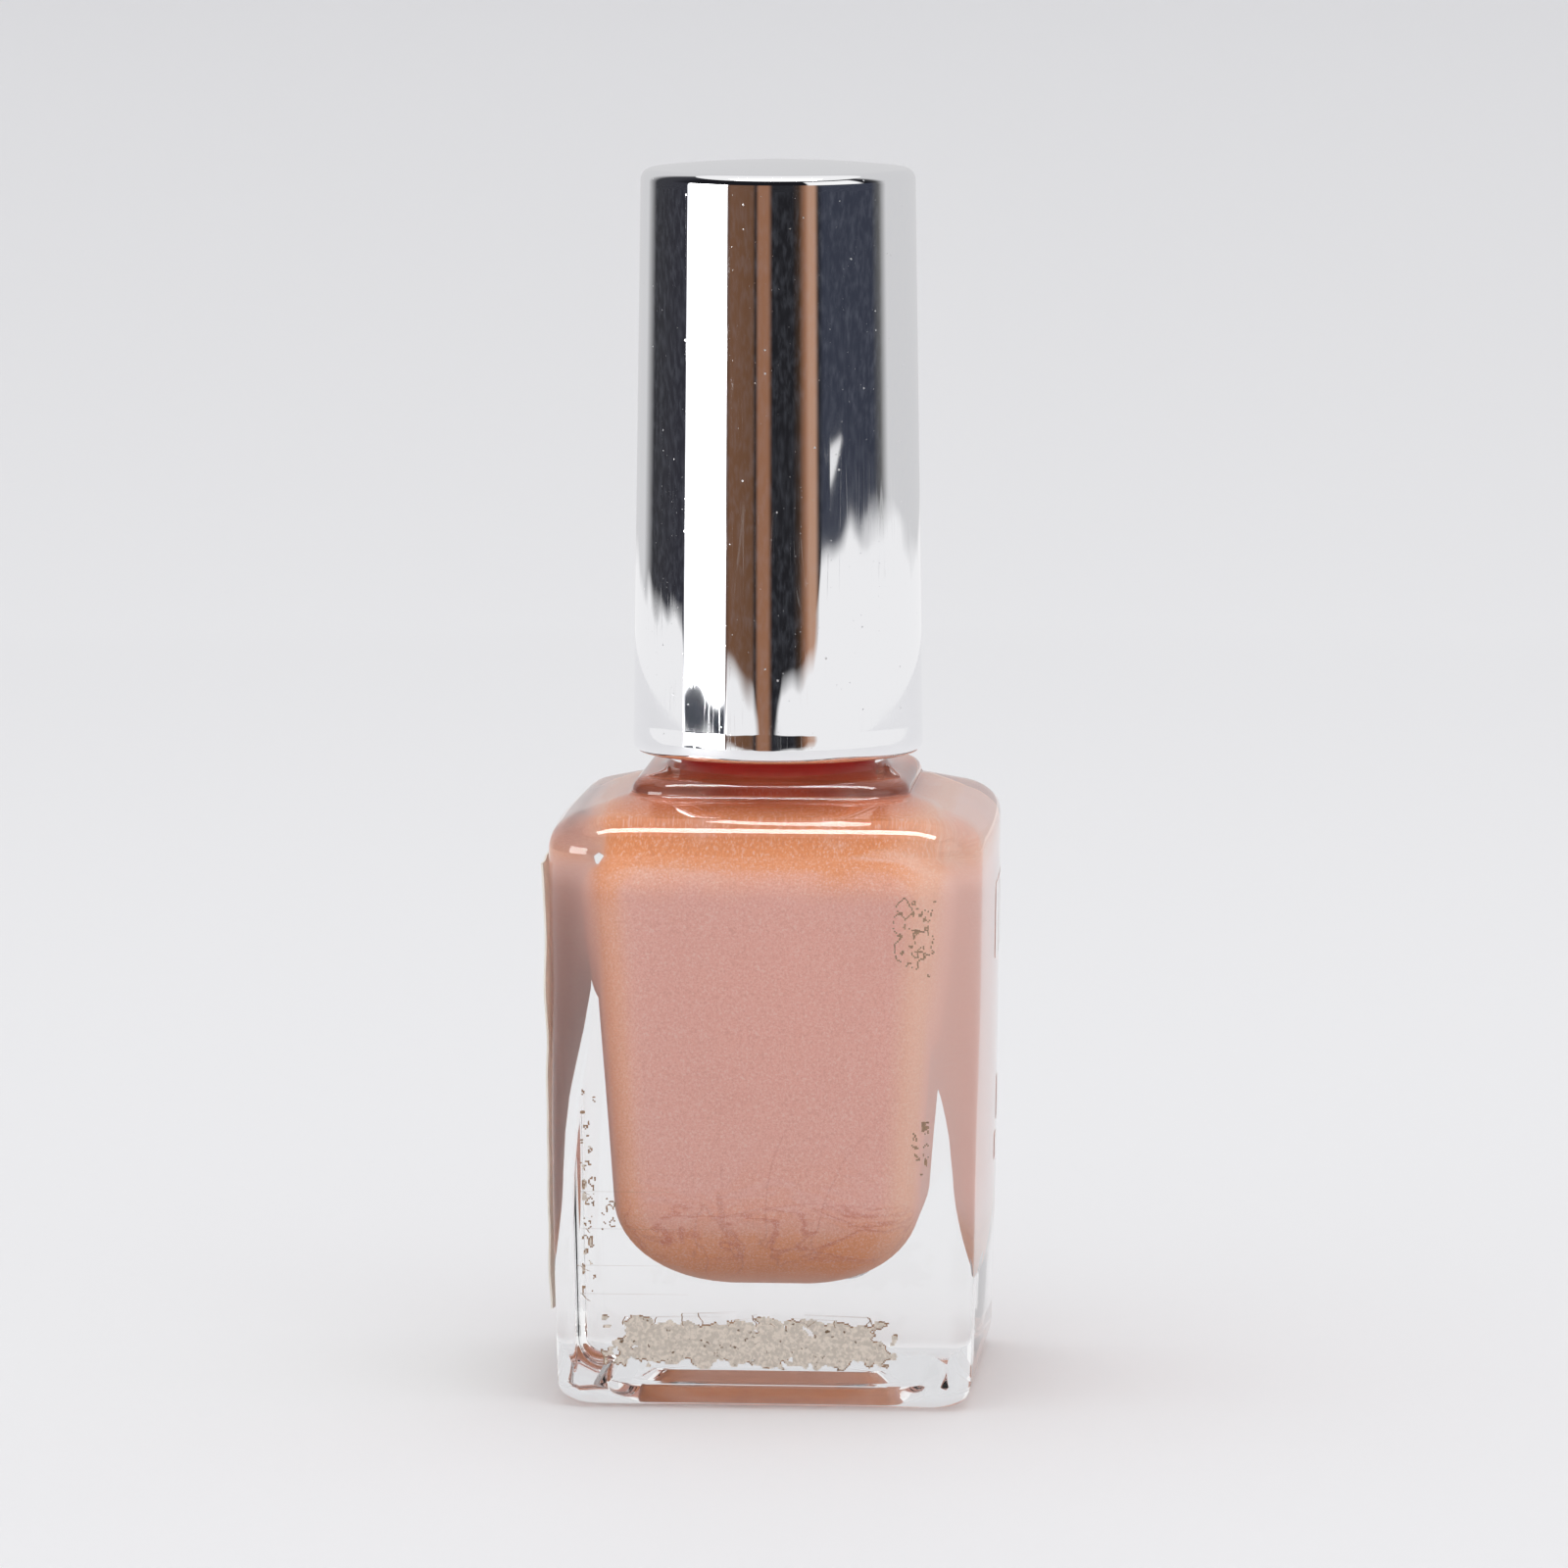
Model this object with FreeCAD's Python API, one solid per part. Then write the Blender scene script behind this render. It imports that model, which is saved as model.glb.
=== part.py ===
import FreeCAD, Part
import math
import os

os.makedirs("parts", exist_ok=True)

V = FreeCAD.Vector
UP = V(0, 0, 1)

# Millimetres. The origin is the middle of the foot, +Z is up, -Y is the front face.

# Glass body: a square bottle with soft corners, a thick foot and a rounded shoulder
FOOT_HALF = 12.3
WAIST_HALF = 12.6
BODY_CORNER_R = 2.5
FOOT_R = 1.8
SHOULDER_Z = 35.45
SHOULDER_R = 2.8

# Raised pad between the shoulder and the neck
PAD_HALF = 8.3
PAD_CORNER_R = 2.4
PAD_TOP_Z = 37.0
PAD_EDGE_R = 0.9

# Neck finish, 13 mm screw neck
NECK_ROOT_R = 7.4
NECK_COLLAR_R = 6.4
NECK_COLLAR_Z = 38.3
NECK_R = 5.8
NECK_RIM_Z = 47.9
NECK_RIM_R = 0.4
BORE_R = 3.9
BEAD_Z = 40.6
BEAD_R = 6.35
BEAD_HEIGHT = 1.2

# Screw thread on the neck
PITCH = 25.4 / 12
THREAD_TURNS = 1.5
THREAD_TOP_Z = 46.7
THREAD_CREST_R = 6.5
THREAD_ROOT_WIDTH = 0.95
THREAD_CREST_WIDTH = 0.45
THREAD_EMBED = 0.15

# Hollow inside the glass
HOLLOW_FLOOR_Z = 6.5
HOLLOW_TOP_Z = 34.4
HOLLOW_FLOOR_HALF = 8.9
HOLLOW_WAIST_HALF = 10.3
HOLLOW_CORNER_R = 3.0
HOLLOW_FLOOR_INSET = 4.5
HOLLOW_FLOOR_RISE = 4.0
HOLLOW_SHOULDER_INSET = 5.6
HOLLOW_SHOULDER_RISE = 4.2

# Lacquer filling and the column kept free for the brush
FILL_Z = 39.2
BRUSH_COLUMN_R = 2.0
BRUSH_COLUMN_Z = 9.2

# Steel mixing balls lying on the floor of the hollow, on a thin film of lacquer
BALL_R = 2.25
BALL_X = 4.4
BALL_FILM = 0.05

# Paper label on the left face
LABEL_THICKNESS = 0.12
LABEL_WIDTH = 20.0
LABEL_BOTTOM_Z = 5.5
LABEL_TOP_Z = 32.0

# Cap shell
SHELL_BOTTOM_Z = 38.0
SHELL_EDGE_Z = 72.8
SHELL_APEX_Z = 73.2
SHELL_BOTTOM_R = 8.68
SHELL_TOP_R = 8.19
SHELL_WALL = 0.8
SHELL_LIP_R = 0.8
SHELL_CROWN_R = 0.4

# Inner cap: a skirt round the neck and a tall tube that supports the shell
INNER_BOTTOM_Z = 38.8
SKIRT_BORE_R = 6.85
CROWN_UNDER_Z = 49.5
CROWN_TOP_Z = 52.0
SUPPORT_OUTER_R = 6.6
SUPPORT_INNER_R = 5.6
SOCKET_R = 2.45
SOCKET_DEPTH = 2.1

# Sealing washer on the rim of the neck
WASHER_Z = 47.92
WASHER_THICKNESS = 0.58
WASHER_OUTER_R = 5.7
WASHER_INNER_R = 1.7

# Brush
FLANGE_Z = 48.55
FLANGE_THICKNESS = 0.9
FLANGE_R = 5.2
BOSS_R = 2.4
BOSS_HEIGHT = 2.0
STEM_R = 1.65
STEM_END_Z = 24.5
TUFT_SOCKET_R = 1.1
TUFT_SOCKET_DEPTH = 3.0
TUFT_BELLY_R = 1.55
TUFT_BELLY_Z = 16.5
TUFT_TIP_R = 0.95
TUFT_TIP_Z = 9.6
STAPLE_THICKNESS = 0.3
STAPLE_WIDTH = 1.9
STAPLE_HEIGHT = 1.4
STAPLE_Z = 25.3

ARC_STEPS = 6


def rounded_square(half, corner, z):
    """Closed wire of a square with rounded corners, lying flat at height z."""
    flat = half - corner
    middle = flat + corner * math.sqrt(0.5)
    edges = []
    for side in range(4):
        turn = FreeCAD.Rotation(UP, 90 * side)
        start = turn.multVec(V(half, -flat, z))
        end = turn.multVec(V(half, flat, z))
        bend = turn.multVec(V(middle, middle, z))
        arrive = turn.multVec(V(flat, half, z))
        edges.append(Part.makeLine(start, end))
        edges.append(Part.Arc(end, bend, arrive).toShape())
    return Part.Wire(edges)


def pillow(low_half, high_half, corner, low_z, high_z, low_round, high_round):
    """Square block whose lower and upper edges roll inwards; each round is (inset, rise)."""
    low_inset, low_rise = low_round
    high_inset, high_rise = high_round
    angles = [math.pi / 2 * step / ARC_STEPS for step in range(ARC_STEPS + 1)]
    foot = []
    shoulder = []
    for angle in angles:
        inset = low_inset * (1 - math.sin(angle))
        z = low_z + low_rise * (1 - math.cos(angle))
        foot.append(rounded_square(low_half - inset, corner, z))
    for angle in angles:
        inset = high_inset * (1 - math.cos(angle))
        z = high_z - high_rise * (1 - math.sin(angle))
        shoulder.append(rounded_square(high_half - inset, corner, z))
    side = Part.makeLoft([foot[-1], shoulder[0]], True, True)
    lower = Part.makeLoft(foot, True, False)
    upper = Part.makeLoft(shoulder, True, False)
    return lower.fuse([side, upper])


def cylinder(radius, low_z, high_z):
    """Upright cylinder on the axis between two heights."""
    return Part.makeCylinder(radius, high_z - low_z, V(0, 0, low_z))


def frustum(low_r, high_r, low_z, high_z):
    """Upright cone frustum on the axis between two heights."""
    return Part.makeCone(low_r, high_r, high_z - low_z, V(0, 0, low_z))


def thread_ridge():
    """Helical ridge whose cross-section narrows from the neck to its crest."""
    rise = PITCH * THREAD_TURNS
    path = Part.makeHelix(PITCH, rise, NECK_R)
    corners = [
        V(NECK_R - THREAD_EMBED, 0, -THREAD_ROOT_WIDTH / 2),
        V(THREAD_CREST_R, 0, -THREAD_CREST_WIDTH / 2),
        V(THREAD_CREST_R, 0, THREAD_CREST_WIDTH / 2),
        V(NECK_R - THREAD_EMBED, 0, THREAD_ROOT_WIDTH / 2),
    ]
    section = Part.makePolygon(corners + corners[:1])
    ridge = Part.Wire(path.Edges).makePipeShell([section], True, True)
    ridge.translate(V(0, 0, THREAD_TOP_Z - rise))
    return ridge


def hollow():
    """Space inside the glass, from the thick foot to the open rim."""
    belly = pillow(
        HOLLOW_FLOOR_HALF,
        HOLLOW_WAIST_HALF,
        HOLLOW_CORNER_R,
        HOLLOW_FLOOR_Z,
        HOLLOW_TOP_Z,
        (HOLLOW_FLOOR_INSET, HOLLOW_FLOOR_RISE),
        (HOLLOW_SHOULDER_INSET, HOLLOW_SHOULDER_RISE),
    )
    bore = cylinder(BORE_R, HOLLOW_TOP_Z - 0.5, NECK_RIM_Z + 1)
    return belly.fuse(bore)


def neck():
    """Collar, plain neck, transfer bead and male thread, without the bore."""
    collar = frustum(NECK_ROOT_R, NECK_COLLAR_R, PAD_TOP_Z, NECK_COLLAR_Z)
    tube = cylinder(NECK_R, PAD_TOP_Z, NECK_RIM_Z)
    rim = [edge for edge in tube.Edges if abs(edge.BoundBox.ZMin - NECK_RIM_Z) < 0.01]
    tube = tube.makeFillet(NECK_RIM_R, rim)
    bead_low = frustum(NECK_R, BEAD_R, BEAD_Z - BEAD_HEIGHT / 2, BEAD_Z)
    bead_high = frustum(BEAD_R, NECK_R, BEAD_Z, BEAD_Z + BEAD_HEIGHT / 2)
    return tube.fuse([collar, bead_low, bead_high, thread_ridge()])


def glass_bottle():
    """Thick-footed square glass with its pad and screw neck."""
    body = pillow(
        FOOT_HALF,
        WAIST_HALF,
        BODY_CORNER_R,
        0,
        SHOULDER_Z,
        (FOOT_R, FOOT_R),
        (SHOULDER_R, SHOULDER_R),
    )
    low = rounded_square(PAD_HALF, PAD_CORNER_R, SHOULDER_Z - 0.6)
    pad = Part.Face(low).extrude(V(0, 0, PAD_TOP_Z - SHOULDER_Z + 0.6))
    edges = [edge for edge in pad.Edges if edge.BoundBox.ZMin > PAD_TOP_Z - 0.01]
    pad = pad.makeFillet(PAD_EDGE_R, edges)
    return body.fuse([pad, neck()]).cut(hollow())


def mixing_balls():
    """Two loose steel balls resting on the floor of the hollow."""
    height = HOLLOW_FLOOR_Z + BALL_FILM + BALL_R
    balls = [Part.makeSphere(BALL_R, V(side * BALL_X, 0, height)) for side in (-1, 1)]
    return Part.makeCompound(balls)


def nail_lacquer():
    """Filling of the hollow up to the neck, open where the brush dips in."""
    below = Part.makeBox(40, 40, FILL_Z, V(-20, -20, 0))
    column = cylinder(BRUSH_COLUMN_R, BRUSH_COLUMN_Z, FILL_Z + 1)
    return hollow().common(below).cut([column, *mixing_balls().Solids])


def side_label():
    """Paper label stuck on the left face, following the draft of the glass."""
    lean = (WAIST_HALF - FOOT_HALF) / (SHOULDER_Z - SHOULDER_R - FOOT_R)
    low_x = FOOT_HALF + lean * (LABEL_BOTTOM_Z - FOOT_R)
    high_x = FOOT_HALF + lean * (LABEL_TOP_Z - FOOT_R)
    corners = [
        V(-low_x, -LABEL_WIDTH / 2, LABEL_BOTTOM_Z),
        V(-high_x, -LABEL_WIDTH / 2, LABEL_TOP_Z),
        V(-high_x - LABEL_THICKNESS, -LABEL_WIDTH / 2, LABEL_TOP_Z),
        V(-low_x - LABEL_THICKNESS, -LABEL_WIDTH / 2, LABEL_BOTTOM_Z),
    ]
    side = Part.Face(Part.makePolygon(corners + corners[:1]))
    return side.extrude(V(0, LABEL_WIDTH, 0))


def shell_radius(z, wall):
    """Radius of the tapered shell at a height, less a wall thickness."""
    share = (z - SHELL_BOTTOM_Z) / (SHELL_EDGE_Z - SHELL_BOTTOM_Z)
    return SHELL_BOTTOM_R + (SHELL_TOP_R - SHELL_BOTTOM_R) * share - wall


def cap_shell():
    """Tall tapered outer shell with a rolled lip and a faintly domed top."""
    body = frustum(SHELL_BOTTOM_R, SHELL_TOP_R, SHELL_BOTTOM_Z, SHELL_EDGE_Z)
    lip = [edge for edge in body.Edges if edge.BoundBox.ZMax < SHELL_BOTTOM_Z + 0.01]
    body = body.makeFillet(SHELL_LIP_R, lip)
    crown = [edge for edge in body.Edges if edge.BoundBox.ZMin > SHELL_EDGE_Z - 0.01]
    body = body.makeFillet(SHELL_CROWN_R, crown)
    dome_r = SHELL_TOP_R - SHELL_CROWN_R - 0.05
    dome_rise = SHELL_APEX_Z - SHELL_EDGE_Z
    sphere_r = (dome_r**2 + dome_rise**2) / (2 * dome_rise)
    sphere = Part.makeSphere(sphere_r, V(0, 0, SHELL_APEX_Z - sphere_r))
    dome = sphere.common(cylinder(dome_r, SHELL_EDGE_Z - 0.2, SHELL_APEX_Z + 1))
    ceiling = SHELL_EDGE_Z - SHELL_WALL
    low_r = shell_radius(SHELL_BOTTOM_Z - 1, SHELL_WALL)
    high_r = shell_radius(ceiling, SHELL_WALL)
    room = frustum(low_r, high_r, SHELL_BOTTOM_Z - 1, ceiling)
    return body.fuse(dome).cut(room)


def inner_cap():
    """Moulded liner: skirt round the neck, crown with the stem socket, supporting tube."""
    ceiling = SHELL_EDGE_Z - SHELL_WALL
    low_r = shell_radius(INNER_BOTTOM_Z, SHELL_WALL)
    high_r = shell_radius(CROWN_TOP_Z, SHELL_WALL)
    skirt = frustum(low_r, high_r, INNER_BOTTOM_Z, CROWN_TOP_Z)
    room = cylinder(SKIRT_BORE_R, INNER_BOTTOM_Z - 1, CROWN_UNDER_Z)
    socket = cylinder(SOCKET_R, CROWN_UNDER_Z - 1, CROWN_UNDER_Z + SOCKET_DEPTH)
    support = cylinder(SUPPORT_OUTER_R, CROWN_TOP_Z - 0.5, ceiling)
    bore = cylinder(SUPPORT_INNER_R, CROWN_TOP_Z, ceiling + 1)
    return skirt.fuse(support).cut([room, socket, bore])


def sealing_washer():
    """Soft ring between the rim of the neck and the flange of the stem."""
    top_z = WASHER_Z + WASHER_THICKNESS
    ring = cylinder(WASHER_OUTER_R, WASHER_Z, top_z)
    return ring.cut(cylinder(WASHER_INNER_R, WASHER_Z - 1, top_z + 1))


def brush_stem():
    """Stem with the flange and boss that hold it in the inner cap."""
    flange_top = FLANGE_Z + FLANGE_THICKNESS
    flange = cylinder(FLANGE_R, FLANGE_Z, flange_top)
    boss = cylinder(BOSS_R, FLANGE_Z, flange_top + BOSS_HEIGHT)
    rod = cylinder(STEM_R, STEM_END_Z, FLANGE_Z + 0.1)
    socket = cylinder(TUFT_SOCKET_R, STEM_END_Z - 1, STEM_END_Z + TUFT_SOCKET_DEPTH)
    return rod.fuse([flange, boss]).cut(socket)


def brush_staple():
    """Flat wire anchor that pins the folded bristles in the stem."""
    corner = V(-STAPLE_WIDTH / 2, -STAPLE_THICKNESS / 2, STAPLE_Z)
    return Part.makeBox(STAPLE_WIDTH, STAPLE_THICKNESS, STAPLE_HEIGHT, corner)


def bristle_tuft():
    """Bundle of bristles: gripped in the stem, full at the belly, rounded at the tip."""
    top = V(TUFT_SOCKET_R, 0, STEM_END_Z + TUFT_SOCKET_DEPTH)
    mouth = V(TUFT_SOCKET_R, 0, STEM_END_Z)
    belly = V(TUFT_BELLY_R, 0, TUFT_BELLY_Z)
    cheek = V(TUFT_TIP_R, 0, TUFT_TIP_Z + TUFT_TIP_R)
    bend = V(TUFT_TIP_R * math.sqrt(0.5), 0, TUFT_TIP_Z + TUFT_TIP_R * (1 - math.sqrt(0.5)))
    tip = V(0, 0, TUFT_TIP_Z)
    axis_top = V(0, 0, top.z)
    outline = [
        Part.makeLine(axis_top, top),
        Part.makeLine(top, mouth),
        Part.Arc(mouth, belly, cheek).toShape(),
        Part.Arc(cheek, bend, tip).toShape(),
        Part.makeLine(tip, axis_top),
    ]
    tuft = Part.Face(Part.Wire(outline)).revolve(V(0, 0, 0), UP, 360)
    return tuft.cut(brush_staple())


PIECES = {
    "glass_bottle": glass_bottle,
    "nail_lacquer": nail_lacquer,
    "mixing_balls": mixing_balls,
    "side_label": side_label,
    "sealing_washer": sealing_washer,
    "brush_stem": brush_stem,
    "brush_staple": brush_staple,
    "bristle_tuft": bristle_tuft,
    "inner_cap": inner_cap,
    "cap_shell": cap_shell,
}

for name, build in PIECES.items():
    build().exportStep(os.path.join("parts", name + ".step"))
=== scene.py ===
import logging
import math
import random
from collections.abc import Callable, Iterable, Sequence
from dataclasses import dataclass
from enum import Enum

import bmesh
import bpy
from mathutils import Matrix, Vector, noise


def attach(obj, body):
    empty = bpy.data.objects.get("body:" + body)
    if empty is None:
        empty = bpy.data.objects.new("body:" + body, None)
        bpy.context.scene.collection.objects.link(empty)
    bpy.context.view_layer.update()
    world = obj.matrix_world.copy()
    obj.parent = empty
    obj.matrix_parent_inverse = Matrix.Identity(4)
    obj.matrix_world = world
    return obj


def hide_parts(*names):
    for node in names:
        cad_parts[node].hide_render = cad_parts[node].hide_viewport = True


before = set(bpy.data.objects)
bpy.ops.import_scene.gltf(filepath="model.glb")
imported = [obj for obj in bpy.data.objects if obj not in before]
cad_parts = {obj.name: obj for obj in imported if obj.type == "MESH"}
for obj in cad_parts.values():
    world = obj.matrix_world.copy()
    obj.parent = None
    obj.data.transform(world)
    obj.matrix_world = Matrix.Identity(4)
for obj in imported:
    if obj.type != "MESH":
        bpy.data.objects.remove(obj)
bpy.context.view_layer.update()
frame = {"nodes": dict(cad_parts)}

LOG = logging.getLogger("nail_polish_bottle")
MM = 0.001
GOLDEN_ANGLE = 2.39996
Pair = tuple[float, float]
Point = tuple[float, float, float]
Colour = tuple[float, float, float]


class Body(Enum):
    """Rigid bodies of the frame that pieces ride on."""

    BOTTLE = "bottle"
    WASHER = "washer"
    BRUSH = "brush"
    CAP = "cap"


# ---------------------------------------------------------------- hand tools


def start_clean() -> None:
    """Leave edit mode and deselect everything."""
    if bpy.context.object and bpy.context.object.mode != "OBJECT":
        bpy.ops.object.mode_set(mode="OBJECT")
    bpy.ops.object.select_all(action="DESELECT")


def name_new(name: str) -> bpy.types.Object:
    """Name the primitive that was just added and settle its place into its mesh.

    Args:
        name: name of the new piece.

    Returns:
        The new object, at the origin and unscaled.
    """
    piece = bpy.context.object
    piece.name = name
    piece.data.name = name
    bpy.ops.object.transform_apply(location=True, rotation=True, scale=True)
    return piece


def only(piece: bpy.types.Object) -> None:
    """Make one piece the selected and active one.

    Args:
        piece: the piece to work on.
    """
    start_clean()
    piece.select_set(True)
    bpy.context.view_layer.objects.active = piece


def pick(piece: bpy.types.Object, kind: str, test: Callable[..., bool]) -> int:
    """Select elements of the piece in edit mode by their place or shape.

    Args:
        piece: the piece in edit mode.
        kind: "verts", "edges" or "faces".
        test: says which elements are wanted.

    Returns:
        How many elements were selected.
    """
    bpy.ops.mesh.select_all(action="DESELECT")
    modes = {"verts": "VERT", "edges": "EDGE", "faces": "FACE"}
    bpy.ops.mesh.select_mode(type=modes[kind])
    mesh = bmesh.from_edit_mesh(piece.data)
    found = 0
    for element in getattr(mesh, kind):
        if test(element):
            element.select_set(True)
            found += 1
    mesh.select_flush_mode()
    bmesh.update_edit_mesh(piece.data)
    return found


def widest(piece: bpy.types.Object) -> float:
    """Largest distance along X of the selected ring from the axis.

    Args:
        piece: the piece in edit mode.

    Returns:
        The distance, in metres.
    """
    mesh = bmesh.from_edit_mesh(piece.data)
    return max(abs(vert.co.x) for vert in mesh.verts if vert.select)


def apply_modifier(piece: bpy.types.Object, kind: str, **settings: object) -> None:
    """Add a modifier, set it up and apply it.

    Args:
        piece: the piece to finish.
        kind: Blender's name for the modifier type.
        settings: values for the modifier.
    """
    only(piece)
    modifier = piece.modifiers.new(kind.title(), kind)
    for key, value in settings.items():
        setattr(modifier, key, value)
    bpy.ops.object.modifier_apply(modifier=modifier.name)


def smooth(piece: bpy.types.Object, degrees: float = 35.0, weighted: bool = True) -> None:
    """Shade a piece smooth below an angle, with flat faces kept flat.

    Args:
        piece: the piece to shade.
        degrees: edges sharper than this stay sharp.
        weighted: give large faces the say over the normals at their edges.
    """
    only(piece)
    bpy.ops.object.shade_smooth_by_angle(angle=math.radians(degrees))
    if weighted:
        apply_modifier(piece, "WEIGHTED_NORMAL", keep_sharp=True, weight=80)


def join(name: str, pieces: Sequence[bpy.types.Object]) -> bpy.types.Object:
    """Join pieces into one mesh.

    Args:
        name: name of the joined piece.
        pieces: what to join; the first one takes the others in.

    Returns:
        The joined object.
    """
    only(pieces[0])
    for piece in pieces:
        piece.select_set(True)
    bpy.ops.object.join()
    whole = bpy.context.object
    whole.name = name
    whole.data.name = name
    return whole


@dataclass(frozen=True)
class Ring:
    """One ring of a stack, in millimetres.

    Attributes:
        z: height of the ring.
        half: half its width along X.
        to_circle: how far this ring is drawn towards a circle, from 0 to 1.
        corner: new corner radius of a square ring, or 0 to keep its shape.
    """

    z: float
    half: float
    to_circle: float = 0.0
    corner: float = 0.0


def quarter(low: Pair, high: Pair, steps: int, convex_first: bool) -> list[Ring]:
    """Rings along a quarter of an ellipse between two (z, half) corners.

    Args:
        low: (z, half) of the first ring.
        high: (z, half) of the last ring.
        steps: how many rings follow the first one.
        convex_first: True when the curve starts level and ends upright.

    Returns:
        The rings, the first corner included.
    """
    rings = []
    for step in range(steps + 1):
        angle = math.pi / 2 * step / steps
        up = 1 - math.cos(angle) if convex_first else math.sin(angle)
        out = math.sin(angle) if convex_first else 1 - math.cos(angle)
        z = low[0] + (high[0] - low[0]) * up
        rings.append(Ring(z, low[1] + (high[1] - low[1]) * out))
    return rings


class RingStack:
    """A skin grown ring by ring from a round or soft-cornered square outline."""

    def __init__(self, name: str, first: Ring, corner: float = 0.0, count: int = 96) -> None:
        """Lay the first outline.

        Args:
            name: name of the piece.
            first: place and size of the first ring.
            corner: corner radius for a square outline, or 0 for a circle.
            count: points round a circle, or round the four corners of a square.
        """
        start_clean()
        radius = corner or first.half
        bpy.ops.mesh.primitive_circle_add(
            vertices=count,
            radius=radius * MM,
            location=(0, 0, first.z * MM),
            rotation=(0, 0, math.pi / count),
        )
        self.piece = name_new(name)
        self.z = first.z
        self.bottom = first.z
        self.half = first.half
        self.corner = corner
        bpy.ops.object.mode_set(mode="EDIT")
        if corner:
            self.square_up(first.half - corner, corner, count)
        bpy.ops.mesh.select_all(action="SELECT")

    def square_up(self, push: float, corner: float, count: int) -> None:
        """Push the quadrants apart and divide the long sides between them.

        Args:
            push: how far each quadrant moves along X and Y, in millimetres.
            corner: corner radius, in millimetres.
            count: points round the four corners.
        """
        for side_x in (-1, 1):
            for side_y in (-1, 1):
                pick(
                    self.piece,
                    "verts",
                    lambda v: v.co.x * side_x > 0 and v.co.y * side_y > 0
                    and abs(v.co.x) <= corner * MM * 1.001
                    and abs(v.co.y) <= corner * MM * 1.001,
                )
                move = (side_x * push * MM, side_y * push * MM, 0)
                bpy.ops.transform.translate(value=move)
        spacing = 2 * math.pi * corner * MM / count
        pick(self.piece, "edges", lambda e: e.calc_length() > 3 * spacing)
        bpy.ops.mesh.subdivide(number_cuts=count // 4 - 1)

    def grow(self, rings: Iterable[Ring]) -> None:
        """Extrude ring after ring.

        Args:
            rings: the rings to add, from the current one on.
        """
        for ring in rings:
            bpy.ops.mesh.extrude_region_move(
                TRANSFORM_OT_translate={"value": (0, 0, (ring.z - self.z) * MM)}
            )
            if ring.to_circle:
                bpy.ops.transform.tosphere(value=ring.to_circle)
            share = ring.half * MM / widest(self.piece)
            bpy.ops.transform.resize(
                value=(share, share, 1), center_override=(0, 0, ring.z * MM)
            )
            self.corner *= ring.half / self.half
            self.half = ring.half
            if ring.corner:
                self.round_corners(ring.corner)
            self.z = ring.z

    def round_corners(self, corner: float) -> None:
        """Give the four corners of the last ring another radius.

        Args:
            corner: the new corner radius, in millimetres.
        """
        mesh = bmesh.from_edit_mesh(self.piece.data)
        old = (self.half - self.corner) * MM
        new = (self.half - corner) * MM
        swell = corner / self.corner
        for vert in mesh.verts:
            if vert.select:
                for axis in (0, 1):
                    far = abs(vert.co[axis])
                    beyond = far > old
                    place = new + (far - old) * swell if beyond else far * new / old
                    vert.co[axis] = math.copysign(place, vert.co[axis])
        bmesh.update_edit_mesh(self.piece.data)
        self.corner = corner

    def close_pole(self) -> None:
        """Draw the last ring together into one point."""
        bpy.ops.mesh.merge(type="CENTER")

    def close_bottom(self) -> None:
        """Fill the first ring."""
        height = self.bottom * MM
        pick(self.piece, "edges", lambda e: e.is_boundary and all(
            abs(v.co.z - height) < 1e-7 for v in e.verts))
        bpy.ops.mesh.edge_face_add()

    def done(self) -> bpy.types.Object:
        """Turn the faces outwards and leave edit mode.

        Returns:
            The finished skin.
        """
        bpy.ops.mesh.select_all(action="SELECT")
        bpy.ops.mesh.normals_make_consistent(inside=False)
        bpy.ops.object.mode_set(mode="OBJECT")
        return self.piece


# ------------------------------------------------------------------ finishes


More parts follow.
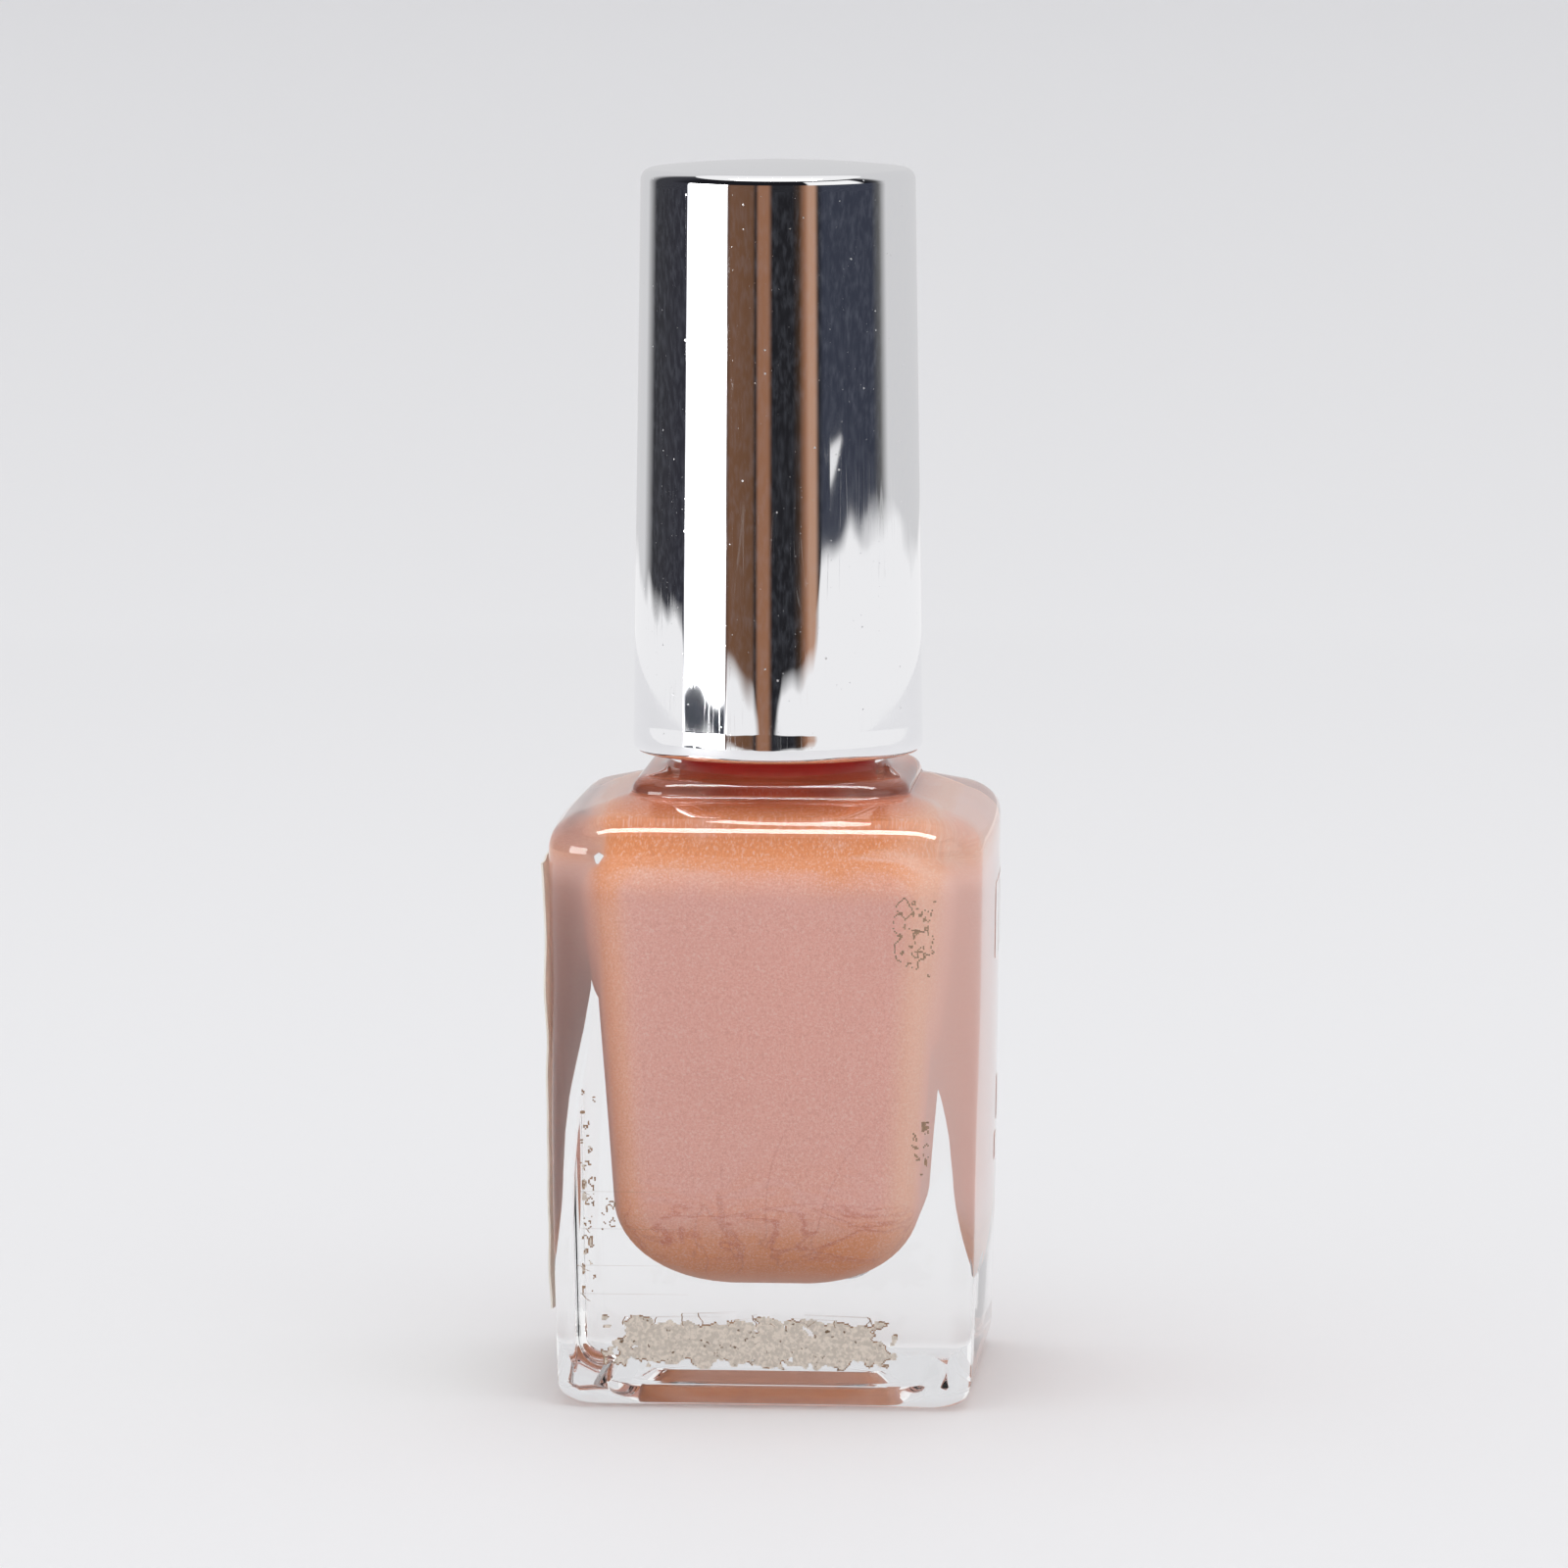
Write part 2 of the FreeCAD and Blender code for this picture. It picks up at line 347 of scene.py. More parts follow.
class NodeDesk:
    """Adds and links nodes in one tree."""

    def __init__(self, tree: bpy.types.NodeTree) -> None:
        """Take over a tree.

        Args:
            tree: the node tree to work in.
        """
        self.tree = tree

    def add(self, kind: str, inputs: dict[str | int, object] | None = None,
            **settings: object) -> bpy.types.Node:
        """Add a node.

        Args:
            kind: Blender's type name of the node.
            inputs: values or sockets for its inputs, by name or number.
            settings: values for its own settings.

        Returns:
            The new node.
        """
        node = self.tree.nodes.new(kind)
        for key, value in settings.items():
            setattr(node, key, value)
        for key, value in (inputs or {}).items():
            if isinstance(value, bpy.types.NodeSocket):
                self.tree.links.new(value, node.inputs[key])
            else:
                node.inputs[key].default_value = value
        return node

    def maths(self, operation: str, first: object,
              second: object = 0.5) -> bpy.types.NodeSocket:
        """Add a Math node.

        Args:
            operation: what it works out.
            first: its first value or socket.
            second: its second value or socket.

        Returns:
            The result socket.
        """
        node = self.add("ShaderNodeMath", {0: first, 1: second}, operation=operation)
        return node.outputs[0]

    def blend(self, share: object, first: object, second: object) -> bpy.types.NodeSocket:
        """Mix two colours.

        Args:
            share: how much of the second colour shows.
            first: the first colour or socket.
            second: the second colour or socket.

        Returns:
            The mixed colour socket.
        """
        values = [
            value if isinstance(value, bpy.types.NodeSocket) else (*value, 1.0)
            for value in (first, second)
        ]
        node = self.add("ShaderNodeMix", {0: share, 6: values[0], 7: values[1]}, data_type="RGBA")
        return node.outputs[2]

    def ramp(self, value: bpy.types.NodeSocket,
             stops: Sequence[tuple[float, Colour]]) -> bpy.types.NodeSocket:
        """Turn a value into a colour.

        Args:
            value: the value socket.
            stops: (position, colour) pairs.

        Returns:
            The colour socket.
        """
        node = self.add("ShaderNodeValToRGB", {0: value})
        band = node.color_ramp
        for index, (place, colour) in enumerate(stops):
            stop = band.elements[index] if index < 2 else band.elements.new(place)
            stop.position = place
            stop.color = (*colour, 1.0)
        return node.outputs[0]

    def between(self, value: bpy.types.NodeSocket, low: float, high: float,
                out_low: float = 0.0, out_high: float = 1.0) -> bpy.types.NodeSocket:
        """Spread a value between two limits.

        Args:
            value: the value socket.
            low: value that gives out_low.
            high: value that gives out_high.
            out_low: result at low.
            out_high: result at high.

        Returns:
            The result socket.
        """
        node = self.add(
            "ShaderNodeMapRange", {0: value, 1: low, 2: high, 3: out_low, 4: out_high}
        )
        return node.outputs[0]


class Pattern(Enum):
    """Shared patterns, each a node group that gives one mask."""

    GRAIN = "fine_grain"
    SCRATCHES = "hair_scratches"
    SPECKS = "dust_specks"


def pattern_group(pattern: Pattern) -> bpy.types.NodeTree:
    """Build a shared pattern once and return it after that.

    Args:
        pattern: which pattern.

    Returns:
        Its node group, with inputs Size and Cover and the output Mask.
    """
    if pattern.value in bpy.data.node_groups:
        return bpy.data.node_groups[pattern.value]
    tree = bpy.data.node_groups.new(pattern.value, "ShaderNodeTree")
    face = tree.interface
    face.new_socket("Size", in_out="INPUT", socket_type="NodeSocketFloat").default_value = 1.0
    face.new_socket("Cover", in_out="INPUT", socket_type="NodeSocketFloat").default_value = 0.5
    face.new_socket("Mask", in_out="OUTPUT", socket_type="NodeSocketFloat")
    desk = NodeDesk(tree)
    given = desk.add("NodeGroupInput")
    place = desk.add("ShaderNodeTexCoord").outputs["Object"]
    density = desk.maths("DIVIDE", 1000.0, given.outputs["Size"])
    if pattern is Pattern.GRAIN:
        field = desk.add("ShaderNodeTexNoise",
                         {"Vector": place, "Scale": density, "Detail": 2.0, "Roughness": 0.6})
        mask = desk.between(field.outputs[0], 0.3, 0.7)
        mask = desk.maths("MULTIPLY", mask, given.outputs["Cover"])
    elif pattern is Pattern.SCRATCHES:
        masks = []
        for turn, stretch in ((0.6, 46.0), (2.2, 60.0), (-0.8, 40.0)):
            turned = desk.add("ShaderNodeMapping", {
                "Vector": place, "Rotation": (turn, turn * 0.6, 0.4),
                "Scale": (1, 1, 1 / stretch)})
            field = desk.add("ShaderNodeTexNoise",
                             {"Vector": turned.outputs[0], "Scale": density, "Detail": 0.0})
            line = desk.maths("ABSOLUTE", desk.maths("SUBTRACT", field.outputs[0], 0.5))
            masks.append(desk.between(line, 0.0, 0.011, 1.0, 0.0))
        wide = desk.maths("MAXIMUM", masks[0], desk.maths("MAXIMUM", masks[1], masks[2]))
        patch = desk.add("ShaderNodeTexNoise", {
            "Vector": place, "Scale": desk.maths("MULTIPLY", density, 0.3), "Detail": 1.0})
        shown = desk.between(patch.outputs[0], 0.48, 0.66)
        mask = desk.maths("MULTIPLY", desk.maths("MULTIPLY", wide, shown), given.outputs["Cover"])
    else:
        cells = desk.add("ShaderNodeTexVoronoi", {"Vector": place, "Scale": density})
        dot = desk.between(cells.outputs["Distance"], 0.03, 0.12, 1.0, 0.0)
        chosen = desk.add("ShaderNodeSeparateColor", {0: cells.outputs["Color"]})
        limit = desk.maths("SUBTRACT", 1.0, given.outputs["Cover"])
        mask = desk.maths("MULTIPLY", dot, desk.maths("GREATER_THAN", chosen.outputs[0], limit))
    desk.add("NodeGroupOutput", {0: mask})
    return tree


class Finish:
    """A named material with its Principled shader, ready to be dressed."""

    def __init__(self, name: str, plain: dict[str, object]) -> None:
        """Start the material.

        Args:
            name: name of the material.
            plain: values that are the same all over, by socket name.
        """
        self.material = bpy.data.materials.new(name)
        self.material.use_nodes = True
        self.desk = NodeDesk(self.material.node_tree)
        self.shader = self.material.node_tree.nodes["Principled BSDF"]
        for key, value in plain.items():
            self.shader.inputs[key].default_value = value

    def pattern(self, pattern: Pattern, size: float, cover: float) -> bpy.types.NodeSocket:
        """Place a shared pattern.

        Args:
            pattern: which pattern.
            size: its size in millimetres.
            cover: how much of it shows.

        Returns:
            The mask socket.
        """
        node = self.desk.add("ShaderNodeGroup", node_tree=pattern_group(pattern))
        node.inputs["Size"].default_value = size
        node.inputs["Cover"].default_value = cover
        return node.outputs["Mask"]

    def noise(self, size: float, detail: float = 2.0, distortion: float = 0.0,
              stretch: Point = (1.0, 1.0, 1.0)) -> bpy.types.NodeSocket:
        """Place a noise of a real size.

        Args:
            size: size of its features in millimetres.
            detail: how many finer layers it has.
            distortion: how much it is stirred.
            stretch: scale along X, Y and Z.

        Returns:
            The value socket.
        """
        place = self.desk.add("ShaderNodeTexCoord").outputs["Object"]
        turned = self.desk.add("ShaderNodeMapping", {"Vector": place, "Scale": stretch})
        field = self.desk.add(
            "ShaderNodeTexNoise",
            {"Vector": turned.outputs[0], "Scale": 1000.0 / size, "Detail": detail,
             "Distortion": distortion},
        )
        return field.outputs[0]

    def height(self) -> bpy.types.NodeSocket:
        """Height above the foot, in metres.

        Returns:
            The value socket.
        """
        place = self.desk.add("ShaderNodeTexCoord").outputs["Object"]
        return self.desk.add("ShaderNodeSeparateXYZ", {0: place}).outputs[2]

    def feed(self, socket: str, source: bpy.types.NodeSocket) -> None:
        """Feed one input of the shader.

        Args:
            socket: name of the input.
            source: what feeds it.
        """
        self.desk.tree.links.new(source, self.shader.inputs[socket])

    def bump(self, height: bpy.types.NodeSocket, depth_mm: float, strength: float = 1.0) -> None:
        """Raise the surface by a pattern.

        Args:
            height: the pattern.
            depth_mm: its depth in millimetres.
            strength: how strongly it shows.
        """
        node = self.desk.add(
            "ShaderNodeBump", {"Height": height, "Distance": depth_mm * MM, "Strength": strength}
        )
        self.feed("Normal", node.outputs[0])


@dataclass(frozen=True)
class ClearGlass:
    """Clear bottle glass with the faint waves of a moulded surface."""

    tint: Colour = (0.985, 0.988, 0.985)
    index: float = 1.5
    wave_mm: float = 16.0

    def make(self) -> bpy.types.Material:
        """Build the material.

        Returns:
            The finished material.
        """
        finish = Finish("clear_glass", {
            "Base Color": (*self.tint, 1.0), "Transmission Weight": 1.0, "IOR": self.index,
            "Roughness": 0.0})
        smear = finish.desk.between(finish.noise(4.0, 3.0, 0.6), 0.55, 0.8, 0.0, 0.03)
        finish.feed("Roughness", smear)
        finish.bump(finish.noise(self.wave_mm, 0.0), 0.002, 0.15)
        return finish.material


@dataclass(frozen=True)
class PearlLacquer:
    """Pearl lacquer: orange where it curves, with painted light and shade: a rosy pearl sheen where
    it lies flat, pale sheen and sparkle, lighter and darker sides, and deep red painted shade in
    the neck under the cap.
    """

    # Painted pearl sheen on the flats that face the lights.
    rosy_pearl_sheen: Colour = (0.93, 0.49, 0.41)
    peach: Colour = (0.93, 0.48, 0.34)
    orange: Colour = (0.92, 0.33, 0.12)
    # Painted shade: deep red in the neck under the cap.
    shaded_neck_red: Colour = (0.66, 0.018, 0.007)
    # Painted sheen on the brow and painted sparkle of the flakes.
    pale: Colour = (0.99, 0.80, 0.74)
    dull: Colour = (0.62, 0.26, 0.19)
    vein: Colour = (0.66, 0.2, 0.15)
    crack: Colour = (0.70, 0.17, 0.10)
    # The next three: painted light on the right-facing lacquer, on its sides and on its underside.
    bright: Colour = (0.99, 0.68, 0.56)
    painted_side_light: Colour = (1.0, 0.62, 0.54)
    under: Colour = (1.0, 0.56, 0.42)
    skin_z: float = 10.2
    flake_mm: float = 0.15
    fine_flake_mm: float = 0.085

    def make(self) -> bpy.types.Material:
        """Build the material.

        Returns:
            The finished material.
        """
        finish = Finish("pearl_lacquer", {
            "Metallic": 0.0, "Roughness": 0.5, "IOR": 1.45})
        desk = finish.desk
        facing = desk.add("ShaderNodeTexCoord").outputs["Normal"]
        parts = desk.add("ShaderNodeSeparateXYZ", {0: facing})
        height = finish.height()
        wander = desk.between(finish.noise(5.0, 2.0, 0.8), 0.3, 0.7, -0.5 * MM, 0.5 * MM)
        level = desk.maths("ADD", height, wander)
        brow = desk.between(level, 29.8 * MM, 32.4 * MM)
        colour = self.ground(desk, parts, level, brow)
        colour = self.settle(finish, colour, height, level)
        # Painted sheen: pale streaks along the rounded brow.
        brow_sheen = desk.between(finish.noise(6.0, 3.0, 1.0, (0.6, 1.0, 3.0)), 0.52, 0.68, 0.0, 0.35)
        colour = desk.blend(desk.maths("MULTIPLY", brow_sheen, brow), colour, self.pale)
        fine = finish.pattern(Pattern.GRAIN, self.flake_mm, 1.0)
        grain = finish.pattern(Pattern.GRAIN, self.fine_flake_mm, 1.0)
        flakes = desk.maths("ADD", fine, grain)
        # Pale flakes are painted sparkle; dull flakes are random darker tone.
        colour = desk.blend(desk.between(flakes, 1.05, 1.6, 0.0, 0.42), colour, self.pale)
        colour = desk.blend(desk.between(flakes, 0.95, 0.45, 0.0, 0.30), colour, self.dull)
        # Painted light and shade by the way the surface faces.
        colour = self.turn(desk, colour, parts)
        # Painted shade: deep red towards the neck, under the cap.
        neck = desk.between(height, 33.0 * MM, 36.8 * MM)
        finish.feed("Base Color", desk.blend(neck, colour, self.shaded_neck_red))
        finish.bump(grain, 0.01, 0.35)
        return finish.material

    def ground(self, desk: NodeDesk, parts: bpy.types.Node, level: bpy.types.NodeSocket,
               brow: bpy.types.NodeSocket) -> bpy.types.NodeSocket:
        """Colour the flats with a painted rosy pearl sheen, and the rounded brow, belly and corners
        in orange.

        Args:
            desk: the material's desk.
            parts: the direction that the surface faces, in X, Y and Z.
            level: height with a slow wander.
            brow: mask of the rounded top.

        Returns:
            The colour socket.
        """
        # Flats take the painted rosy pearl sheen; curves keep the orange body colour.
        flat = desk.maths("MAXIMUM", desk.maths("ABSOLUTE", parts.outputs[0]),
                          desk.maths("ABSOLUTE", parts.outputs[1]))
        curved = desk.between(flat, 0.995, 0.86)
        belly = desk.between(level, 11.5 * MM, 7.0 * MM)
        rounds = desk.blend(desk.maths("MAXIMUM", brow, belly), self.peach, self.orange)
        turned = desk.maths("MAXIMUM", curved, desk.between(level, 29.9 * MM, 32.3 * MM))
        turned = desk.maths("MAXIMUM", turned, desk.between(level, 10.5 * MM, 7.0 * MM, 0.0, 0.7))
        return desk.blend(turned, self.rosy_pearl_sheen, rounds)

    def settle(self, finish: Finish, colour: bpy.types.NodeSocket, height: bpy.types.NodeSocket,
               level: bpy.types.NodeSocket) -> bpy.types.NodeSocket:
        """Add what settles low down: swirls, veins, and a cracked and folded skin.

        Args:
            finish: the material being made.
            colour: the colour so far.
            height: height above the foot.
            level: height with a slow wander.

        Returns:
            The colour socket.
        """
        desk = finish.desk
        stir = desk.between(finish.noise(7.0, 4.0, 2.2, (1.0, 1.0, 2.2)), 0.46, 0.56)
        low = desk.between(level, 15 * MM, 8 * MM)
        swirl = desk.maths("MULTIPLY", stir, desk.maths("MULTIPLY", low, 0.5))
        colour = desk.blend(swirl, colour, self.orange)
        thread = desk.maths("ABSOLUTE", desk.maths("SUBTRACT", finish.noise(
            9.0, 3.0, 1.5, (1.0, 1.0, 0.6)), 0.5))
        vein = desk.maths("MULTIPLY", desk.between(thread, 0.0, 0.016, 0.4, 0.0), desk.between(
            level, 19 * MM, 11 * MM))
        colour = desk.blend(vein, colour, self.vein)
        ripple = desk.maths("SUBTRACT", finish.noise(6.5, 4.0, 1.6, (0.7, 1.0, 2.0)), 0.5)
        line = desk.between(desk.maths("ABSOLUTE", ripple), 0.0, 0.03, 0.6, 0.0)
        off = desk.maths("ABSOLUTE", desk.maths("SUBTRACT", height, self.skin_z * MM))
        crack = desk.maths("MULTIPLY", line, desk.between(off, 1.1 * MM, 2.4 * MM, 1.0, 0.0))
        colour = desk.blend(crack, colour, self.crack)
        fold = desk.maths("MULTIPLY", desk.between(ripple, 0.01, 0.05, 0.0, 0.35),
                          desk.between(height, 12.0 * MM, 10.0 * MM))
        return desk.blend(fold, colour, self.orange)

    def turn(self, desk: NodeDesk, colour: bpy.types.NodeSocket,
             parts: bpy.types.Node) -> bpy.types.NodeSocket:
        """Paint light and shade by the way that the surface faces: painted light on the right and
        on the sides and underside, and painted shade in orange on the left.

        Args:
            desk: the material's desk.
            colour: the colour so far.
            parts: the direction that the surface faces, in X, Y and Z.

        Returns:
            The colour socket.
        """
        sideways = desk.maths("ABSOLUTE", parts.outputs[0])
        # Painted light on the right-facing lacquer, painted shade on the left, painted light on
        # both sides and on the underside.
        for share, tone in (
            (desk.between(parts.outputs[0], 0.1, 0.7, 0.0, 0.4), self.bright),
            (desk.between(parts.outputs[0], -0.3, -0.7, 0.0, 0.22), self.orange),
            (desk.between(sideways, 0.8, 0.97, 0.0, 0.8), self.painted_side_light),
            (desk.between(parts.outputs[2], -0.85, -0.98), self.under),
        ):
            colour = desk.blend(share, colour, tone)
        return colour


@dataclass(frozen=True)
class MirrorShell:
    """Mirror-bright shell with hair scratches, dust and faint smears."""

    metal: Colour = (0.92, 0.92, 0.93)
    speck: Colour = (0.7, 0.7, 0.7)

    def make(self) -> bpy.types.Material:
        """Build the material.

        Returns:
            The finished material.
        """
        finish = Finish("mirror_shell", {
            "Base Color": (*self.metal, 1.0), "Metallic": 1.0, "Roughness": 0.02})
        desk = finish.desk
        scratch = finish.pattern(Pattern.SCRATCHES, 1.0, 0.7)
        dust = finish.pattern(Pattern.SPECKS, 0.34, 0.3)
        specks = finish.pattern(Pattern.SPECKS, 0.7, 0.22)
        smear = desk.between(finish.noise(7.0, 4.0, 0.8), 0.5, 0.75, 0.0, 0.03)
        rough = desk.maths("ADD", desk.maths("MULTIPLY", scratch, 0.14),
                           desk.maths("MULTIPLY", specks, 0.6))
        rough = desk.maths("ADD", rough, desk.maths("MULTIPLY", dust, 0.28))
        finish.feed("Roughness", desk.maths("ADD", desk.maths("ADD", rough, smear), 0.012))
        dulled = desk.maths("MULTIPLY", specks, 0.5)
        finish.feed("Base Color", desk.blend(dulled, self.metal, self.speck))
        return finish.material


@dataclass(frozen=True)
class Moulded:
    """Satin moulded plastic."""

    name: str
    colour: Colour
    rough: float = 0.42
    grain_mm: float = 0.25

    def make(self) -> bpy.types.Material:
        """Build the material.

        Returns:
            The finished material.
        """
        finish = Finish(self.name, {"Roughness": self.rough})
        desk = finish.desk
        grain = finish.pattern(Pattern.GRAIN, self.grain_mm, 1.0)
        worn = finish.noise(5.0, 3.0)
        lighter = tuple(min(1.0, part * 1.25 + 0.02) for part in self.colour)
        share = desk.maths("MULTIPLY", worn, 0.5)
        finish.feed("Base Color", desk.blend(share, self.colour, lighter))
        finish.feed("Roughness", desk.between(
            worn, 0.3, 0.7, self.rough - 0.08, self.rough + 0.1))
        finish.bump(grain, 0.01, 0.4)
        return finish.material


@dataclass(frozen=True)
class Metal:
    """Drawn or ground bare metal."""

    name: str
    colour: Colour
    rough: float = 0.25

    def make(self) -> bpy.types.Material:
        """Build the material.

        Returns:
            The finished material.
        """
        finish = Finish(self.name, {"Metallic": 1.0, "Base Color": (*self.colour, 1.0)})
        grain = finish.noise(0.3, 3.0)
        finish.feed("Roughness", finish.desk.between(
            grain, 0.3, 0.7, self.rough - 0.1, self.rough + 0.1))
        return finish.material


@dataclass(frozen=True)
class LabelPaper:
    """Cream uncoated paper, aged and a little stained."""

    paper: Colour = (0.84, 0.80, 0.72)
    stain: Colour = (0.62, 0.50, 0.36)

    def make(self) -> bpy.types.Material:
        """Build the material.

        Returns:
            The finished material.
        """
        finish = Finish("label_paper", {"Roughness": 0.85})
        desk = finish.desk
        fibre = finish.noise(0.35, 4.0, 0.5)
        stain = desk.between(finish.noise(6.0, 4.0, 0.6), 0.52, 0.75)
        colour = desk.blend(desk.maths("MULTIPLY", stain, 0.5), self.paper, self.stain)
        colour = desk.blend(desk.maths("MULTIPLY", fibre, 0.18), colour, (0.9, 0.86, 0.8))
        finish.feed("Base Color", colour)
        finish.bump(fibre, 0.02, 0.6)
        return finish.material


@dataclass(frozen=True)
class DriedGlue:
    """Grey-beige remains of a peeled label, with brown crumbs."""

    glue: Colour = (0.53, 0.47, 0.41)
    crumb: Colour = (0.16, 0.10, 0.06)

    def make(self, name: str = "dried_glue") -> bpy.types.Material:
        """Build the material.

        Args:
            name: name of the material.

        Returns:
            The finished material.
        """
        finish = Finish(name, {"Roughness": 0.8, "Specular IOR Level": 0.3})
        desk = finish.desk
        fine = finish.noise(0.22, 3.0, 0.4)
        lighter = tuple(min(1.0, part * 1.3) for part in self.glue)
        colour = desk.blend(desk.between(fine, 0.42, 0.6), self.glue, lighter)
        crumbs = desk.between(finish.noise(0.35, 2.0), 0.66, 0.74)
        colour = desk.blend(crumbs, colour, self.crumb)
        finish.feed("Base Color", colour)
        finish.bump(fine, 0.04, 0.9)
        return finish.material


@dataclass(frozen=True)
class Fibre:
    """Dark nylon bristle, wet with lacquer towards the tip."""

    dry: Colour = (0.03, 0.028, 0.028)
    wet: Colour = (0.55, 0.2, 0.12)

    def make(self) -> bpy.types.Material:
        """Build the material.

        Returns:
            The finished material.
        """
        finish = Finish("bristle_fibre", {"Roughness": 0.25, "Coat Weight": 0.6})
        desk = finish.desk
        edge = desk.maths("ADD", finish.height(), desk.maths("MULTIPLY", finish.noise(1.0), 0.004))
        wet = desk.between(edge, 27 * MM, 24 * MM)
        finish.feed("Base Color", desk.blend(wet, self.dry, self.wet))
        finish.bump(finish.pattern(Pattern.GRAIN, 0.1, 1.0), 0.01, 0.3)
        return finish.material


@dataclass(frozen=True)
class Ink:
    """Opaque white screen-print ink."""

    colour: Colour = (0.95, 0.95, 0.95)

    def make(self) -> bpy.types.Material:
        """Build the material.

        Returns:
            The finished material.
        """
        finish = Finish("white_ink", {"Roughness": 0.5})
        worn = finish.desk.between(finish.noise(0.6, 3.0), 0.35, 0.7)
        finish.feed("Base Color", finish.desk.blend(worn, self.colour, (0.85, 0.84, 0.84)))
        finish.bump(finish.noise(0.12, 2.0), 0.004, 0.5)
        return finish.material


def dress(piece: bpy.types.Object, material: bpy.types.Material) -> None:
    """Give a piece one material all over.

    Args:
        piece: the piece to dress.
        material: its finish.
    """
    piece.data.materials.clear()
    piece.data.materials.append(material)


def fit(piece: bpy.types.Object, body: Body, slot: str, *nodes: str) -> None:
    """Hand a finished piece over to the frame and report it.

    Args:
        piece: the finished piece.
        body: the body that it rides on.
        slot: not used.
        nodes: frame nodes that it stands for.
    """
    start_clean()
    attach(piece, body.value)
    if nodes:
        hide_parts(*nodes)
    LOG.info("%s: %d faces on %s", piece.name, len(piece.data.polygons), body.value)


# -------------------------------------------------------------- sub-assemblies


